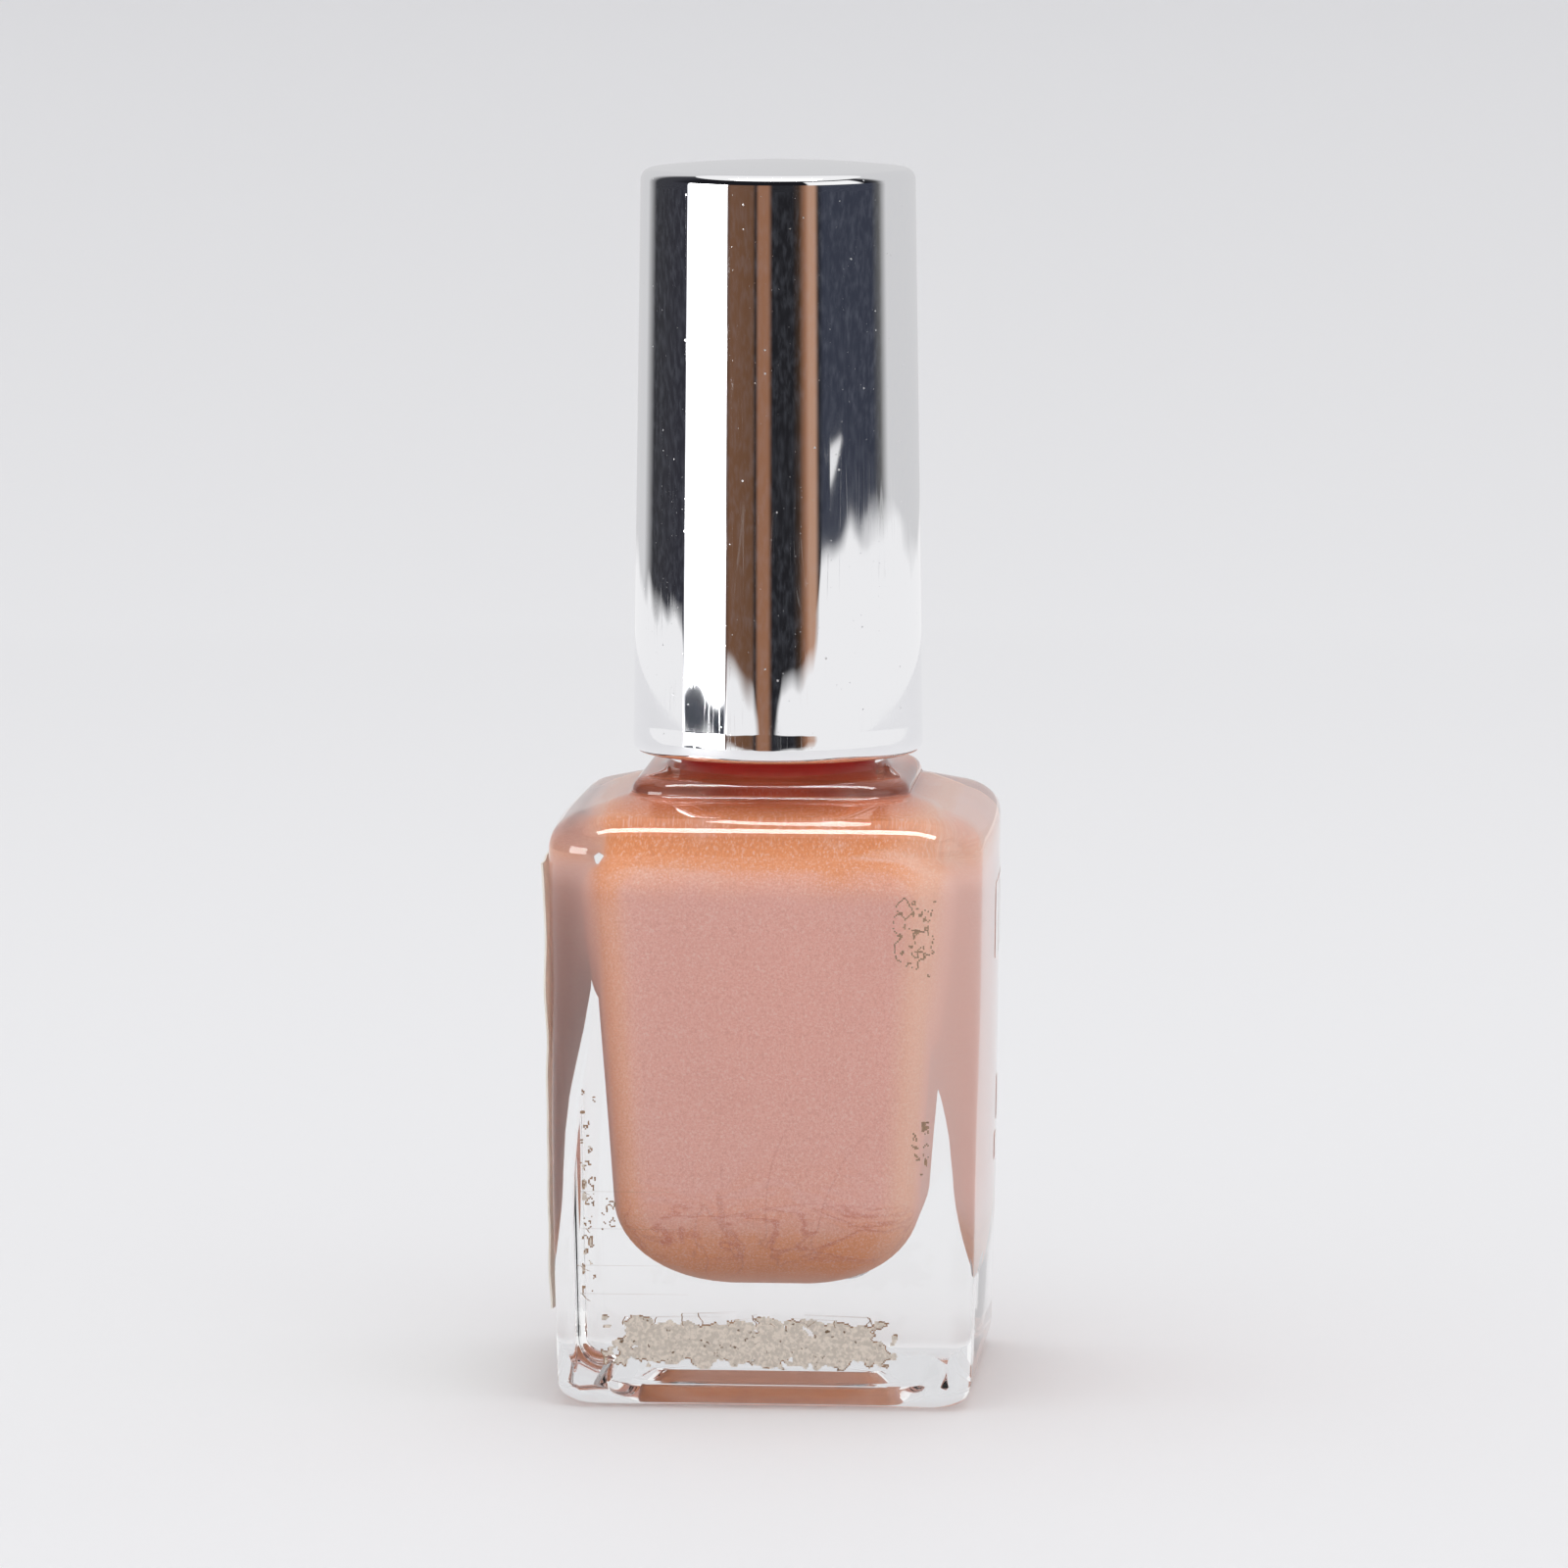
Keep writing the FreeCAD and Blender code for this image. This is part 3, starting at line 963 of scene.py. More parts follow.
@dataclass
class Glass:
    """The glass bottle: thick foot, soft square body, pad and screw neck (millimetres).

    Its corners grow rounder with height: corner_growth lists (height, share of the growth).
    """

    foot_half: float = 12.3
    waist_half: float = 12.68
    bulge: float = 0.45
    corner: float = 1.4
    high_corner: float = 3.3
    foot_r: float = 1.5
    wall_z: float = 33.0
    shoulder_r: float = 2.25
    shoulder_slope: float = 16.0
    pad_half: float = 8.3
    pad_top: float = 37.0
    pad_edge: float = 0.95
    collar_r: float = 6.4
    neck_r: float = 5.8
    rim_z: float = 47.9
    rim_r: float = 0.5
    bore_r: float = 3.9
    pitch: float = 25.4 / 12
    turns: float = 1.5
    thread_top: float = 46.7
    dish_z: float = 1.72
    corner_growth: tuple[Pair, ...] = (
        (11.0, 0.0), (14.0, 0.06), (16.5, 0.18), (18.5, 0.36), (20.5, 0.60), (22.5, 0.80),
        (25.0, 0.94), (28.0, 1.0),
    )

    def assemble(self, hollow: "Hollow") -> None:
        """Build, dress and fit the bottle and its thread.

        Args:
            hollow: the space inside the glass.
        """
        clear = ClearGlass().make()
        bottle = self.build(hollow)
        dress(bottle, clear)
        fit(bottle, Body.BOTTLE, "clear_glass", "glass_bottle")
        thread = self.build_thread()
        dress(thread, clear)
        fit(thread, Body.BOTTLE, "clear_glass")

    def outer_rings(self) -> list[Ring]:
        """Rings of the outside, from the edge of the dish to the rim.

        Returns:
            The rings in order.
        """
        foot = quarter(
            (0, self.foot_half - self.foot_r), (self.foot_r, self.foot_half), 10, True
        )
        wall = []
        for z, share in self.corner_growth:
            corner = self.corner + (self.high_corner - self.corner) * share
            wall.append(Ring(z, self.flat_side(z), corner=corner))
        centre = self.waist_half - self.shoulder_r
        shoulder = []
        steps = 14
        for step in range(steps + 1):
            angle = math.radians((90 - self.shoulder_slope) * step / steps)
            z = self.wall_z + self.shoulder_r * math.sin(angle)
            half = centre + self.shoulder_r * math.cos(angle)
            shoulder.append(Ring(z, half, corner=self.high_corner))
        foot_of_pad = self.pad_half + 0.45
        rise = (shoulder[-1].half - foot_of_pad) * math.tan(math.radians(self.shoulder_slope))
        shelf = shoulder[-1].z + rise
        pad = [
            Ring(shelf, foot_of_pad, corner=2.9),
            Ring(shelf + 0.04, self.pad_half + 0.22),
            Ring(shelf + 0.13, self.pad_half + 0.07),
            Ring(shelf + 0.26, self.pad_half),
        ]
        low = self.pad_top - self.pad_edge
        out = self.pad_half - 0.02
        brow = quarter((low, out), (self.pad_top, out - self.pad_edge), 10, False)
        collar = [
            Ring(self.pad_top + 0.03, 6.95, 0.6),
            Ring(self.pad_top + 0.12, 6.75, 1.0),
            Ring(self.pad_top + 0.35, 6.6),
            Ring(self.pad_top + 0.7, 6.45),
            Ring(self.pad_top + 1.3, self.collar_r),
            Ring(self.pad_top + 1.7, self.neck_r + 0.15),
            Ring(self.pad_top + 2.0, self.neck_r),
            Ring(40.0, self.neck_r),
            Ring(40.2, 6.2),
            Ring(40.45, 6.34),
            Ring(40.75, 6.34),
            Ring(41.0, 6.2),
            Ring(41.2, self.neck_r),
            Ring(self.rim_z - self.rim_r, self.neck_r),
        ]
        rim = quarter(
            (self.rim_z - self.rim_r, self.neck_r), (self.rim_z, self.neck_r - self.rim_r), 6, False
        )
        return foot + wall + shoulder + pad + brow + collar + rim[1:]

    def build_outside(self) -> bpy.types.Object:
        """Build the outside skin, with the dish under the foot.

        Returns:
            The skin, open at the rim.
        """
        rings = self.outer_rings()
        edge = self.foot_half - self.foot_r
        start = Ring(self.dish_z, 1.2)
        scale = self.corner / self.foot_half
        stack = RingStack("glass_outside", start, start.half * scale, 48)
        stack.grow([
            Ring(self.dish_z, 3.0), Ring(self.dish_z, 5.0), Ring(self.dish_z, 6.7),
            Ring(self.dish_z - 0.04, 6.95, corner=1.7),
            Ring(1.15, 7.95), Ring(1.12, 8.05), Ring(1.12, 9.1), Ring(1.06, 9.3, corner=2.3),
            Ring(0.46, 10.15), Ring(0.36, 10.25), Ring(0.04, 10.42), Ring(0.0, 10.5),
            Ring(0.0, edge - 0.02, corner=1.3),
        ])
        stack.grow(rings[1:])
        stack.close_bottom()
        bpy.ops.object.mode_set(mode="OBJECT")
        for vert in stack.piece.data.vertices:
            spot = vert.co / MM
            push = self.bow(spot.z, spot.y) * spot.x / self.waist_half
            vert.co.x += push * MM
        return stack.piece

    def bow(self, z: float, along: float) -> float:
        """How far a side face stands out from a flat one.

        Args:
            z: height, in millimetres.
            along: distance from the middle of the face.

        Returns:
            The distance, in millimetres.
        """
        up = min(1.0, max(0.0, (z - 1.5) / 6.0), max(0.0, (35.3 - z) / 1.3))
        return self.bulge * up * max(0.0, 1 - (along / self.waist_half) ** 2)

    def side(self, z: float, along: float) -> float:
        """Distance of a side face from the axis.

        Args:
            z: height, in millimetres.
            along: distance from the middle of the face.

        Returns:
            The distance, in millimetres.
        """
        return self.flat_side(z) + self.bow(z, along)

    def flat_side(self, z: float) -> float:
        """Distance of a face from the axis before it bows out.

        Args:
            z: height, in millimetres.

        Returns:
            The distance, in millimetres.
        """
        lean = (z - self.foot_r) / (self.wall_z - self.foot_r)
        return self.foot_half + (self.waist_half - self.foot_half) * lean

    def build(self, hollow: "Hollow") -> bpy.types.Object:
        """Build the closed glass body.

        Args:
            hollow: the space inside the glass.

        Returns:
            The glass, one closed mesh.
        """
        outside = self.build_outside()
        inside = hollow.skin("glass_inside", 0.0, self.rim_z, self.bore_r)
        whole = join("bottle_glass", [outside, inside])
        bpy.ops.object.mode_set(mode="EDIT")
        pick(whole, "edges", lambda e: e.is_boundary)
        bpy.ops.mesh.bridge_edge_loops()
        bpy.ops.mesh.select_all(action="SELECT")
        bpy.ops.mesh.normals_make_consistent(inside=False)
        bpy.ops.object.mode_set(mode="OBJECT")
        smooth(whole, 40)
        return whole

    def build_thread(self) -> bpy.types.Object:
        """Build the thread on the neck as one ridge that runs out at both ends.

        Returns:
            The ridge.
        """
        return screw_ridge(
            "neck_thread", self.neck_r - 0.12, 6.5, self.turns, self.pitch,
            self.thread_top - self.pitch * self.turns, 0.0,
        )


def screw_ridge(name: str, root: float, crest: float, turns: float, pitch: float,
                start_z: float, start_angle: float) -> bpy.types.Object:
    """Spin a trapezoid into a screw ridge and draw its ends down to nothing.

    Args:
        name: name of the piece.
        root: radius of its foot, in millimetres.
        crest: radius of its crest.
        turns: how many turns it makes.
        pitch: rise of one turn.
        start_z: height at which it starts.
        start_angle: angle at which it starts, in degrees.

    Returns:
        The ridge.
    """
    start_clean()
    middle = (root + crest) / 2
    bpy.ops.mesh.primitive_plane_add(size=1.0, location=(0, 0, 0), rotation=(math.pi / 2, 0, 0))
    piece = name_new(name)
    bpy.ops.object.mode_set(mode="EDIT")
    bpy.ops.transform.resize(value=(abs(crest - root) * MM, 1, 0.92 * MM))
    outer = 1 if crest > root else -1
    pick(piece, "verts", lambda v: v.co.x * outer > 0)
    bpy.ops.transform.resize(value=(1, 1, 0.45))
    bpy.ops.mesh.select_all(action="SELECT")
    bpy.ops.transform.translate(value=(middle * MM, 0, start_z * MM))
    bpy.ops.transform.rotate(
        value=-math.radians(start_angle), orient_axis="Z", center_override=(0, 0, 0)
    )
    steps = int(48 * turns)
    bpy.ops.mesh.spin(
        steps=steps, angle=2 * math.pi * turns, center=(0, 0, 0), axis=(0, 0, 1)
    )
    bpy.ops.mesh.select_all(action="DESELECT")
    mesh = bmesh.from_edit_mesh(piece.data)
    mesh.verts.ensure_lookup_table()
    first, second = mesh.verts[0].co, mesh.verts[4].co
    if first.x * second.y - first.y * second.x < 0:
        for vert in mesh.verts:
            vert.co.y = -vert.co.y
    for index, vert in enumerate(mesh.verts):
        section = index // 4
        share = section / steps
        fade = min(1.0, min(share, 1 - share) * steps / 5 + 0.05)
        radius = Vector((vert.co.x, vert.co.y)).length
        target = root * MM + (radius - root * MM) * fade
        vert.co.x *= target / radius
        vert.co.y *= target / radius
        vert.co.z += pitch * turns * share * MM
    bmesh.update_edit_mesh(piece.data)
    bpy.ops.mesh.select_all(action="SELECT")
    bpy.ops.mesh.normals_make_consistent(inside=False)
    bpy.ops.object.mode_set(mode="OBJECT")
    smooth(piece, 50, weighted=False)
    return piece


@dataclass
class Hollow:
    """The space inside the glass: rounded floor, soft square belly, round bore."""

    floor_z: float = 6.5
    floor_half: float = 9.1
    floor_inset: float = 7.6
    floor_rise: float = 5.6
    waist_half: float = 10.35
    corner: float = 3.0
    turn_z: float = 30.4
    top_z: float = 34.6
    shoulder_inset: float = 5.6

    def skin(self, name: str, swell: float, stop_z: float, stop_r: float) -> bpy.types.Object:
        """Build the skin of the hollow.

        Args:
            name: name of the piece.
            swell: how far the skin stands outside the hollow, in millimetres.
            stop_z: height of the last ring.
            stop_r: radius of the last ring.

        Returns:
            The skin, closed at the floor and open at the last ring.
        """
        low = self.floor_half - self.floor_inset
        floor = quarter(
            (self.floor_z - swell, low),
            (self.floor_z + self.floor_rise, self.floor_half + swell), 16, True,
        )
        high = self.waist_half + swell
        shoulder = quarter(
            (self.turn_z, high), (self.top_z + swell, high - self.shoulder_inset), 14, False
        )
        stack = RingStack(name, floor[0], low * self.corner / self.waist_half, 48)
        stack.grow(floor[1:])
        stack.grow(shoulder)
        bore = stop_r + swell
        stack.grow([
            Ring(self.top_z + 0.25, bore + 0.55, 0.4),
            Ring(self.top_z + 0.7, bore + 0.2, 0.7),
            Ring(self.top_z + 1.4, bore + 0.04, 1.0),
            Ring(self.top_z + 2.2, bore),
            Ring(stop_z - 0.4, bore),
            Ring(stop_z, bore + (0.3 if stop_z > 40 else 0.0)),
        ])
        stack.close_bottom()
        bpy.ops.object.mode_set(mode="OBJECT")
        return stack.piece


@dataclass
class Filling:
    """The lacquer in the hollow, seated a hair's breadth into the glass."""

    fill_z: float = 39.2
    seat: float = 0.03

    def assemble(self, glass: Glass, hollow: Hollow) -> None:
        """Build, dress and fit the lacquer.

        Args:
            glass: the bottle.
            hollow: the space that it fills.
        """
        lacquer = self.build(glass, hollow)
        dress(lacquer, PearlLacquer().make())
        fit(lacquer, Body.BOTTLE, "lacquer", "nail_lacquer")

    def build(self, glass: Glass, hollow: Hollow) -> bpy.types.Object:
        """Build the lacquer.

        Args:
            glass: the bottle.
            hollow: the space that it fills.

        Returns:
            The lacquer, closed.
        """
        piece = hollow.skin("lacquer", self.seat, self.fill_z, glass.bore_r)
        only(piece)
        bpy.ops.object.mode_set(mode="EDIT")
        pick(piece, "edges", lambda e: e.is_boundary)
        bpy.ops.mesh.extrude_region_move(
            TRANSFORM_OT_translate={"value": (0, 0, -0.25 * MM)}
        )
        bpy.ops.transform.resize(value=(0.8, 0.8, 1), center_override=(0, 0, self.fill_z * MM))
        bpy.ops.mesh.edge_face_add()
        bpy.ops.mesh.select_all(action="SELECT")
        bpy.ops.mesh.normals_make_consistent(inside=False)
        bpy.ops.object.mode_set(mode="OBJECT")
        smooth(piece, 60)
        return piece


@dataclass
class Shell:
    """The tall tapered cap shell with its rolled lip and faint dome (millimetres)."""

    bottom_z: float = 38.0
    kink_z: float = 39.75
    edge_z: float = 72.8
    apex_z: float = 73.2
    bottom_r: float = 8.68
    top_r: float = 8.19
    crown_r: float = 0.7
    wall: float = 0.8

    def assemble(self) -> None:
        """Build, dress and fit the shell."""
        shell = self.build()
        dress(shell, MirrorShell().make())
        fit(shell, Body.CAP, "bright_shell", "cap_shell")

    def build(self) -> bpy.types.Object:
        """Build the shell.

        Returns:
            The shell, one closed mesh.
        """
        inner_low = self.bottom_r - self.wall
        inner_high = self.top_r - self.wall
        ceiling = self.edge_z - self.wall
        stack = RingStack("cap_mirror_shell", Ring(ceiling, 0.4), 0.0, 160)
        stack.grow([Ring(ceiling, inner_high - 0.3), Ring(ceiling, inner_high)])
        stack.grow([
            Ring(self.edge_z - 2, inner_high + 0.02), Ring(self.bottom_z + 0.25, inner_low),
        ])
        lip = [
            Ring(self.bottom_z + 0.05, inner_low + 0.06),
            Ring(self.bottom_z, inner_low + 0.16),
        ]
        roll = []
        roll_steps = 8
        for step in range(roll_steps + 1):
            angle = math.pi / 2 * step / roll_steps
            half = self.bottom_r - 0.32 + 0.31 * math.sin(angle)
            roll.append(Ring(self.bottom_z + 0.5 * (1 - math.cos(angle)), half))
        wall = [
            Ring(38.7, self.bottom_r), Ring(38.85, self.bottom_r - 0.003),
            Ring(39.1, self.bottom_r - 0.009), Ring(39.4, self.bottom_r - 0.0168),
            Ring(self.kink_z - 0.09, self.bottom_r - 0.0235),
            Ring(self.kink_z, self.bottom_r - 0.0257),
            Ring(self.kink_z + 0.05, self.bottom_r - 0.0264),
            Ring(self.kink_z + 0.3, self.bottom_r - 0.030),
            Ring(self.edge_z - self.crown_r - 0.3, self.top_r + 0.004),
        ]
        crown = quarter(
            (self.edge_z - self.crown_r, self.top_r),
            (self.edge_z, self.top_r - self.crown_r), 9, False,
        )
        dome = []
        rise = self.apex_z - self.edge_z
        dome_steps = 14
        for step in range(1, dome_steps):
            share = 1 - step / dome_steps
            half = (self.top_r - self.crown_r) * share
            dome.append(Ring(self.edge_z + rise * (1 - share**2), half))
        stack.grow(lip + roll + wall + crown + dome)
        stack.close_pole()
        stack.close_bottom()
        piece = stack.done()
        smooth(piece, 24)
        return piece


@dataclass
class InnerCap:
    """The plastic inner cap: threaded skirt, crown with a socket, support tube (millimetres)."""

    low_z: float = 38.8
    skirt_bore: float = 6.85
    skirt_outer: float = 7.85
    taper: float = 0.0141
    under_crown: float = 49.5
    crown_top: float = 52.0
    tube_outer: float = 6.6
    tube_inner: float = 5.6
    tube_top: float = 72.0
    socket_r: float = 2.45
    socket_top: float = 51.6
    thread_crest: float = 6.08

    def assemble(self, glass: Glass, plastic: bpy.types.Material) -> None:
        """Build, dress and fit the inner cap and its thread.

        Args:
            glass: the bottle whose neck it screws on.
            plastic: what it is moulded from.
        """
        body = self.build()
        dress(body, plastic)
        fit(body, Body.CAP, "cap_plastic", "inner_cap")
        thread = self.build_thread(glass)
        dress(thread, plastic)
        fit(thread, Body.CAP, "cap_plastic")

    def build(self) -> bpy.types.Object:
        """Build the inner cap.

        Returns:
            The inner cap, one closed mesh.
        """
        crown_outer = self.skirt_outer - self.taper * (self.crown_top - self.low_z)
        stack = RingStack("inner_cap_body", Ring(self.socket_top, 0.6), 0.0, 96)
        stack.grow([
            Ring(self.socket_top, self.socket_r), Ring(self.under_crown + 0.15, self.socket_r),
            Ring(self.under_crown, self.socket_r + 0.15),
            Ring(self.under_crown, self.skirt_bore - 0.5),
            Ring(self.under_crown - 0.15, self.skirt_bore - 0.12),
            Ring(self.under_crown - 0.5, self.skirt_bore), Ring(self.low_z + 0.5, self.skirt_bore),
            Ring(self.low_z + 0.1, self.skirt_bore + 0.22),
            Ring(self.low_z, self.skirt_bore + 0.35),
            Ring(self.low_z, self.skirt_outer - 0.12), Ring(self.low_z + 0.12, self.skirt_outer),
            Ring(self.crown_top - 0.3, crown_outer), Ring(self.crown_top, crown_outer - 0.3),
            Ring(self.crown_top, self.tube_outer + 0.3),
            Ring(self.crown_top + 0.3, self.tube_outer),
            Ring(self.tube_top - 0.2, self.tube_outer), Ring(self.tube_top, self.tube_outer - 0.2),
            Ring(self.tube_top, self.tube_inner), Ring(self.crown_top + 0.5, self.tube_inner),
            Ring(self.crown_top + 0.05, self.tube_inner - 0.45),
            Ring(self.crown_top, self.tube_inner - 1.0), Ring(self.crown_top, 0.6),
        ])
        stack.close_pole()
        stack.close_bottom()
        piece = stack.done()
        smooth(piece, 35)
        return piece

    def build_thread(self, glass: Glass) -> bpy.types.Object:
        """Build the thread inside the skirt, half a pitch under the neck's.

        Args:
            glass: the bottle whose neck it screws on.

        Returns:
            The ridge.
        """
        return screw_ridge(
            "cap_thread", self.skirt_bore + 0.1, self.thread_crest, 1.0, glass.pitch,
            glass.thread_top - glass.pitch * glass.turns, 180.0,
        )


@dataclass
class Stem:
    """The brush stem: boss, flange and long round stem with a hollow end (millimetres)."""

    end_z: float = 24.5
    stem_r: float = 1.65
    grip_r: float = 1.08
    grip_depth: float = 2.9
    flange_z: float = 48.55
    flange_t: float = 0.9
    flange_r: float = 5.2
    boss_r: float = 2.4
    boss_height: float = 2.0

    def assemble(self) -> None:
        """Build, dress and fit the stem."""
        stem = self.build()
        dress(stem, Moulded("black_plastic", (0.02, 0.02, 0.022)).make())
        fit(stem, Body.BRUSH, "stem_plastic", "brush_stem")

    def build(self) -> bpy.types.Object:
        """Build the stem.

        Returns:
            The stem, one closed mesh.
        """
        top = self.flange_z + self.flange_t
        boss_top = top + self.boss_height
        stack = RingStack("stem", Ring(self.end_z + self.grip_depth, 0.3), 0.0, 64)
        stack.grow([
            Ring(self.end_z + self.grip_depth, self.grip_r), Ring(self.end_z + 0.1, self.grip_r),
            Ring(self.end_z, self.grip_r + 0.1), Ring(self.end_z, self.stem_r - 0.3),
            Ring(self.end_z + 0.08, self.stem_r - 0.12),
            Ring(self.end_z + 0.25, self.stem_r - 0.02),
            Ring(self.end_z + 0.5, self.stem_r), Ring(self.flange_z, self.stem_r),
            Ring(self.flange_z, self.flange_r - 0.12), Ring(self.flange_z + 0.12, self.flange_r),
            Ring(top - 0.2, self.flange_r), Ring(top, self.flange_r - 0.2),
            Ring(top, self.boss_r + 0.15), Ring(top + 0.15, self.boss_r),
            Ring(boss_top - 0.2, self.boss_r), Ring(boss_top, self.boss_r - 0.2),
            Ring(boss_top, 0.3),
        ])
        stack.close_pole()
        stack.close_bottom()
        piece = stack.done()
        smooth(piece, 35)
        return piece


@dataclass
class Label:
    """The paper label on the left face, lifting at its top edge (millimetres)."""

    width: float = 20.0
    low_z: float = 5.5
    high_z: float = 32.2
    thickness: float = 0.12
    lift: float = 0.25
    edge_lift: float = 0.25

    def assemble(self, glass: Glass) -> None:
        """Build, dress and fit the label.

        Args:
            glass: the bottle that it is stuck on.
        """
        label = self.build(glass)
        dress(label, LabelPaper().make())
        fit(label, Body.BOTTLE, "label_paper", "side_label")

    def build(self, glass: Glass) -> bpy.types.Object:
        """Build the label.

        Args:
            glass: the bottle that it is stuck on.

        Returns:
            The label.
        """
        start_clean()
        middle = (self.low_z + self.high_z) / 2
        bpy.ops.mesh.primitive_plane_add(
            size=1.0, location=(0, 0, middle * MM), rotation=(0, -math.pi / 2, 0)
        )
        piece = bpy.context.object
        piece.scale = ((self.high_z - self.low_z) * MM, self.width * MM, 1)
        piece = name_new("paper_label")
        bpy.ops.object.mode_set(mode="EDIT")
        bpy.ops.mesh.subdivide(number_cuts=47)
        bpy.ops.object.mode_set(mode="OBJECT")
        for vert in piece.data.vertices:
            z = vert.co.z / MM
            y = vert.co.y / MM
            face = glass.side(z, y) + 0.01
            top = max(0.0, (z - (self.high_z - 3.2)) / 3.2)
            edge = max(0.0, (-y - self.width / 2 + 2.0) / 2.0)
            curl = top**2 * self.lift * (0.75 + 0.25 * math.sin(y * 0.7))
            uneven = noise.noise(Vector((1.0, z * 0.3, 0.0)))
            curl += edge**2 * self.edge_lift * (0.8 + 0.4 * uneven)
            ripple = 0.03 * (noise.noise(Vector((y * 0.5, z * 0.35, 3.0))) + 0.5)
            vert.co.x = -(face + curl + max(0.0, ripple)) * MM
        apply_modifier(piece, "SOLIDIFY", thickness=self.thickness * MM, offset=1.0)
        smooth(piece, 40, weighted=False)
        return piece


@dataclass(frozen=True)
class Patch:
    """One zone of dried glue on the front face (millimetres).

    Attributes:
        x: middle of the zone along X.
        z: middle of the zone along Z.
        wide: width of the zone.
        tall: height of the zone.
        cover: share of the zone that is covered, about 0 to 1.
        grain: size of its lobes.
        outline: True where only a dried outline is left.
    """

    x: float
    z: float
    wide: float
    tall: float
    cover: float
    grain: float
    outline: bool = False


@dataclass
class GlueRemains:
    """What a peeled front label left behind."""

    glue: bpy.types.Material
    rim: bpy.types.Material
    cell: float = 0.085
    depth: float = 0.035

    def assemble(self, glass: Glass) -> None:
        """Build and fit the glue, which is dressed patch by patch.

        Args:
            glass: the bottle that it lies on.
        """
        fit(self.build(glass), Body.BOTTLE, "label_paper")

    def patches(self) -> list[Patch]:
        """Zones of glue.

        Returns:
            The zones.
        """
        return [
            Patch(-0.7, 4.0, 17.8, 3.2, 0.84, 1.0),
            Patch(-10.3, 13.5, 1.1, 17.0, 0.30, 0.6, True),
            Patch(-10.3, 11.0, 0.9, 13.0, 0.34, 0.4),
            Patch(-9.1, 11.6, 1.0, 3.4, 0.40, 0.7, True),
            Patch(9.0, 28.4, 2.9, 5.8, 0.50, 1.1, True),
            Patch(9.35, 15.8, 1.2, 4.4, 0.46, 0.8, True),
        ]

    def build(self, glass: Glass) -> bpy.types.Object:
        """Build all zones as one piece.

        Args:
            glass: the bottle that they lie on.

        Returns:
            The glue remains.
        """
        pieces = [
            self.build_patch(patch, index, glass) for index, patch in enumerate(self.patches())
        ]
        whole = join("glue_remains", pieces + self.build_strands(glass))
        smooth(whole, 60, weighted=False)
        return whole

    def build_patch(self, patch: Patch, index: int, glass: Glass) -> bpy.types.Object:
        """Build one zone: a fine sheet, eaten away at its edges and thickened.

        Args:
            patch: the zone.
            index: its number, which seeds its shape.
            glass: the bottle that it lies on.

        Returns:
            The zone.
        """
        start_clean()
        bpy.ops.mesh.primitive_grid_add(
            x_subdivisions=max(2, int(patch.wide / self.cell)),
            y_subdivisions=max(2, int(patch.tall / self.cell)),
            size=1.0, rotation=(math.pi / 2, 0, 0), location=(patch.x * MM, 0, patch.z * MM),
        )
        piece = bpy.context.object
        piece.scale = (patch.wide * MM, patch.tall * MM, 1)
        piece = name_new(f"glue_{index}")
        bpy.ops.object.mode_set(mode="EDIT")
        pick(piece, "faces", lambda face: not self.kept(
            face.calc_center_median() / MM, patch, index))
        bpy.ops.mesh.delete(type="FACE")
        bpy.ops.object.mode_set(mode="OBJECT")
        self.mark_rims(piece, patch.outline)
        for vert in piece.data.vertices:
            spot = Vector((vert.co.x / MM * 6, vert.co.z / MM * 6, index))
            rough = noise.noise(spot)
            vert.co.x += rough * 0.04 * MM
            vert.co.z += noise.noise(spot.yxz) * 0.04 * MM
            rise = 0.012 + max(0.0, rough) * self.depth * 0.5
            vert.co.y = -(glass.flat_side(vert.co.z / MM) + rise) * MM
        apply_modifier(piece, "SOLIDIFY", thickness=self.depth * MM, offset=1.0)
        return piece

    def mark_rims(self, piece: bpy.types.Object, all_over: bool) -> None:
        """Give the cells along the torn edges the second finish.

        Args:
            piece: the sheet of glue.
            all_over: True to give it to every cell.
        """
        piece.data.materials.append(self.glue)
        piece.data.materials.append(self.rim)
        only(piece)
        bpy.ops.object.mode_set(mode="EDIT")
        pick(piece, "faces", lambda face: all_over or (
            any(edge.is_boundary for edge in face.edges)
            and noise.noise(face.calc_center_median() / MM * 1.3) > 0.05))
        piece.active_material_index = 1
        bpy.ops.object.material_slot_assign()
        bpy.ops.object.mode_set(mode="OBJECT")

    def kept(self, centre: Vector, patch: Patch, index: int) -> bool:
        """Say whether a spot of a zone still carries glue.

        Args:
            centre: the spot, in millimetres.
            patch: the zone.
            index: number of the zone.

        Returns:
            True where glue is left.
        """
        across = abs(centre.x - patch.x) / (patch.wide / 2)
        along = abs(centre.z - patch.z) / (patch.tall / 2)
        edge = max(across**6, along**3)
        coarse = noise.noise(Vector((centre.x / patch.grain, centre.z / patch.grain, index * 7.0)))
        fine = noise.noise(Vector((centre.x * 2.6, centre.z * 2.6, index + 3.0)))
        level = patch.cover + 0.55 * coarse + 0.32 * fine - 0.75 * edge - 0.42
        return 0.0 < level < 0.07 if patch.outline else level > 0

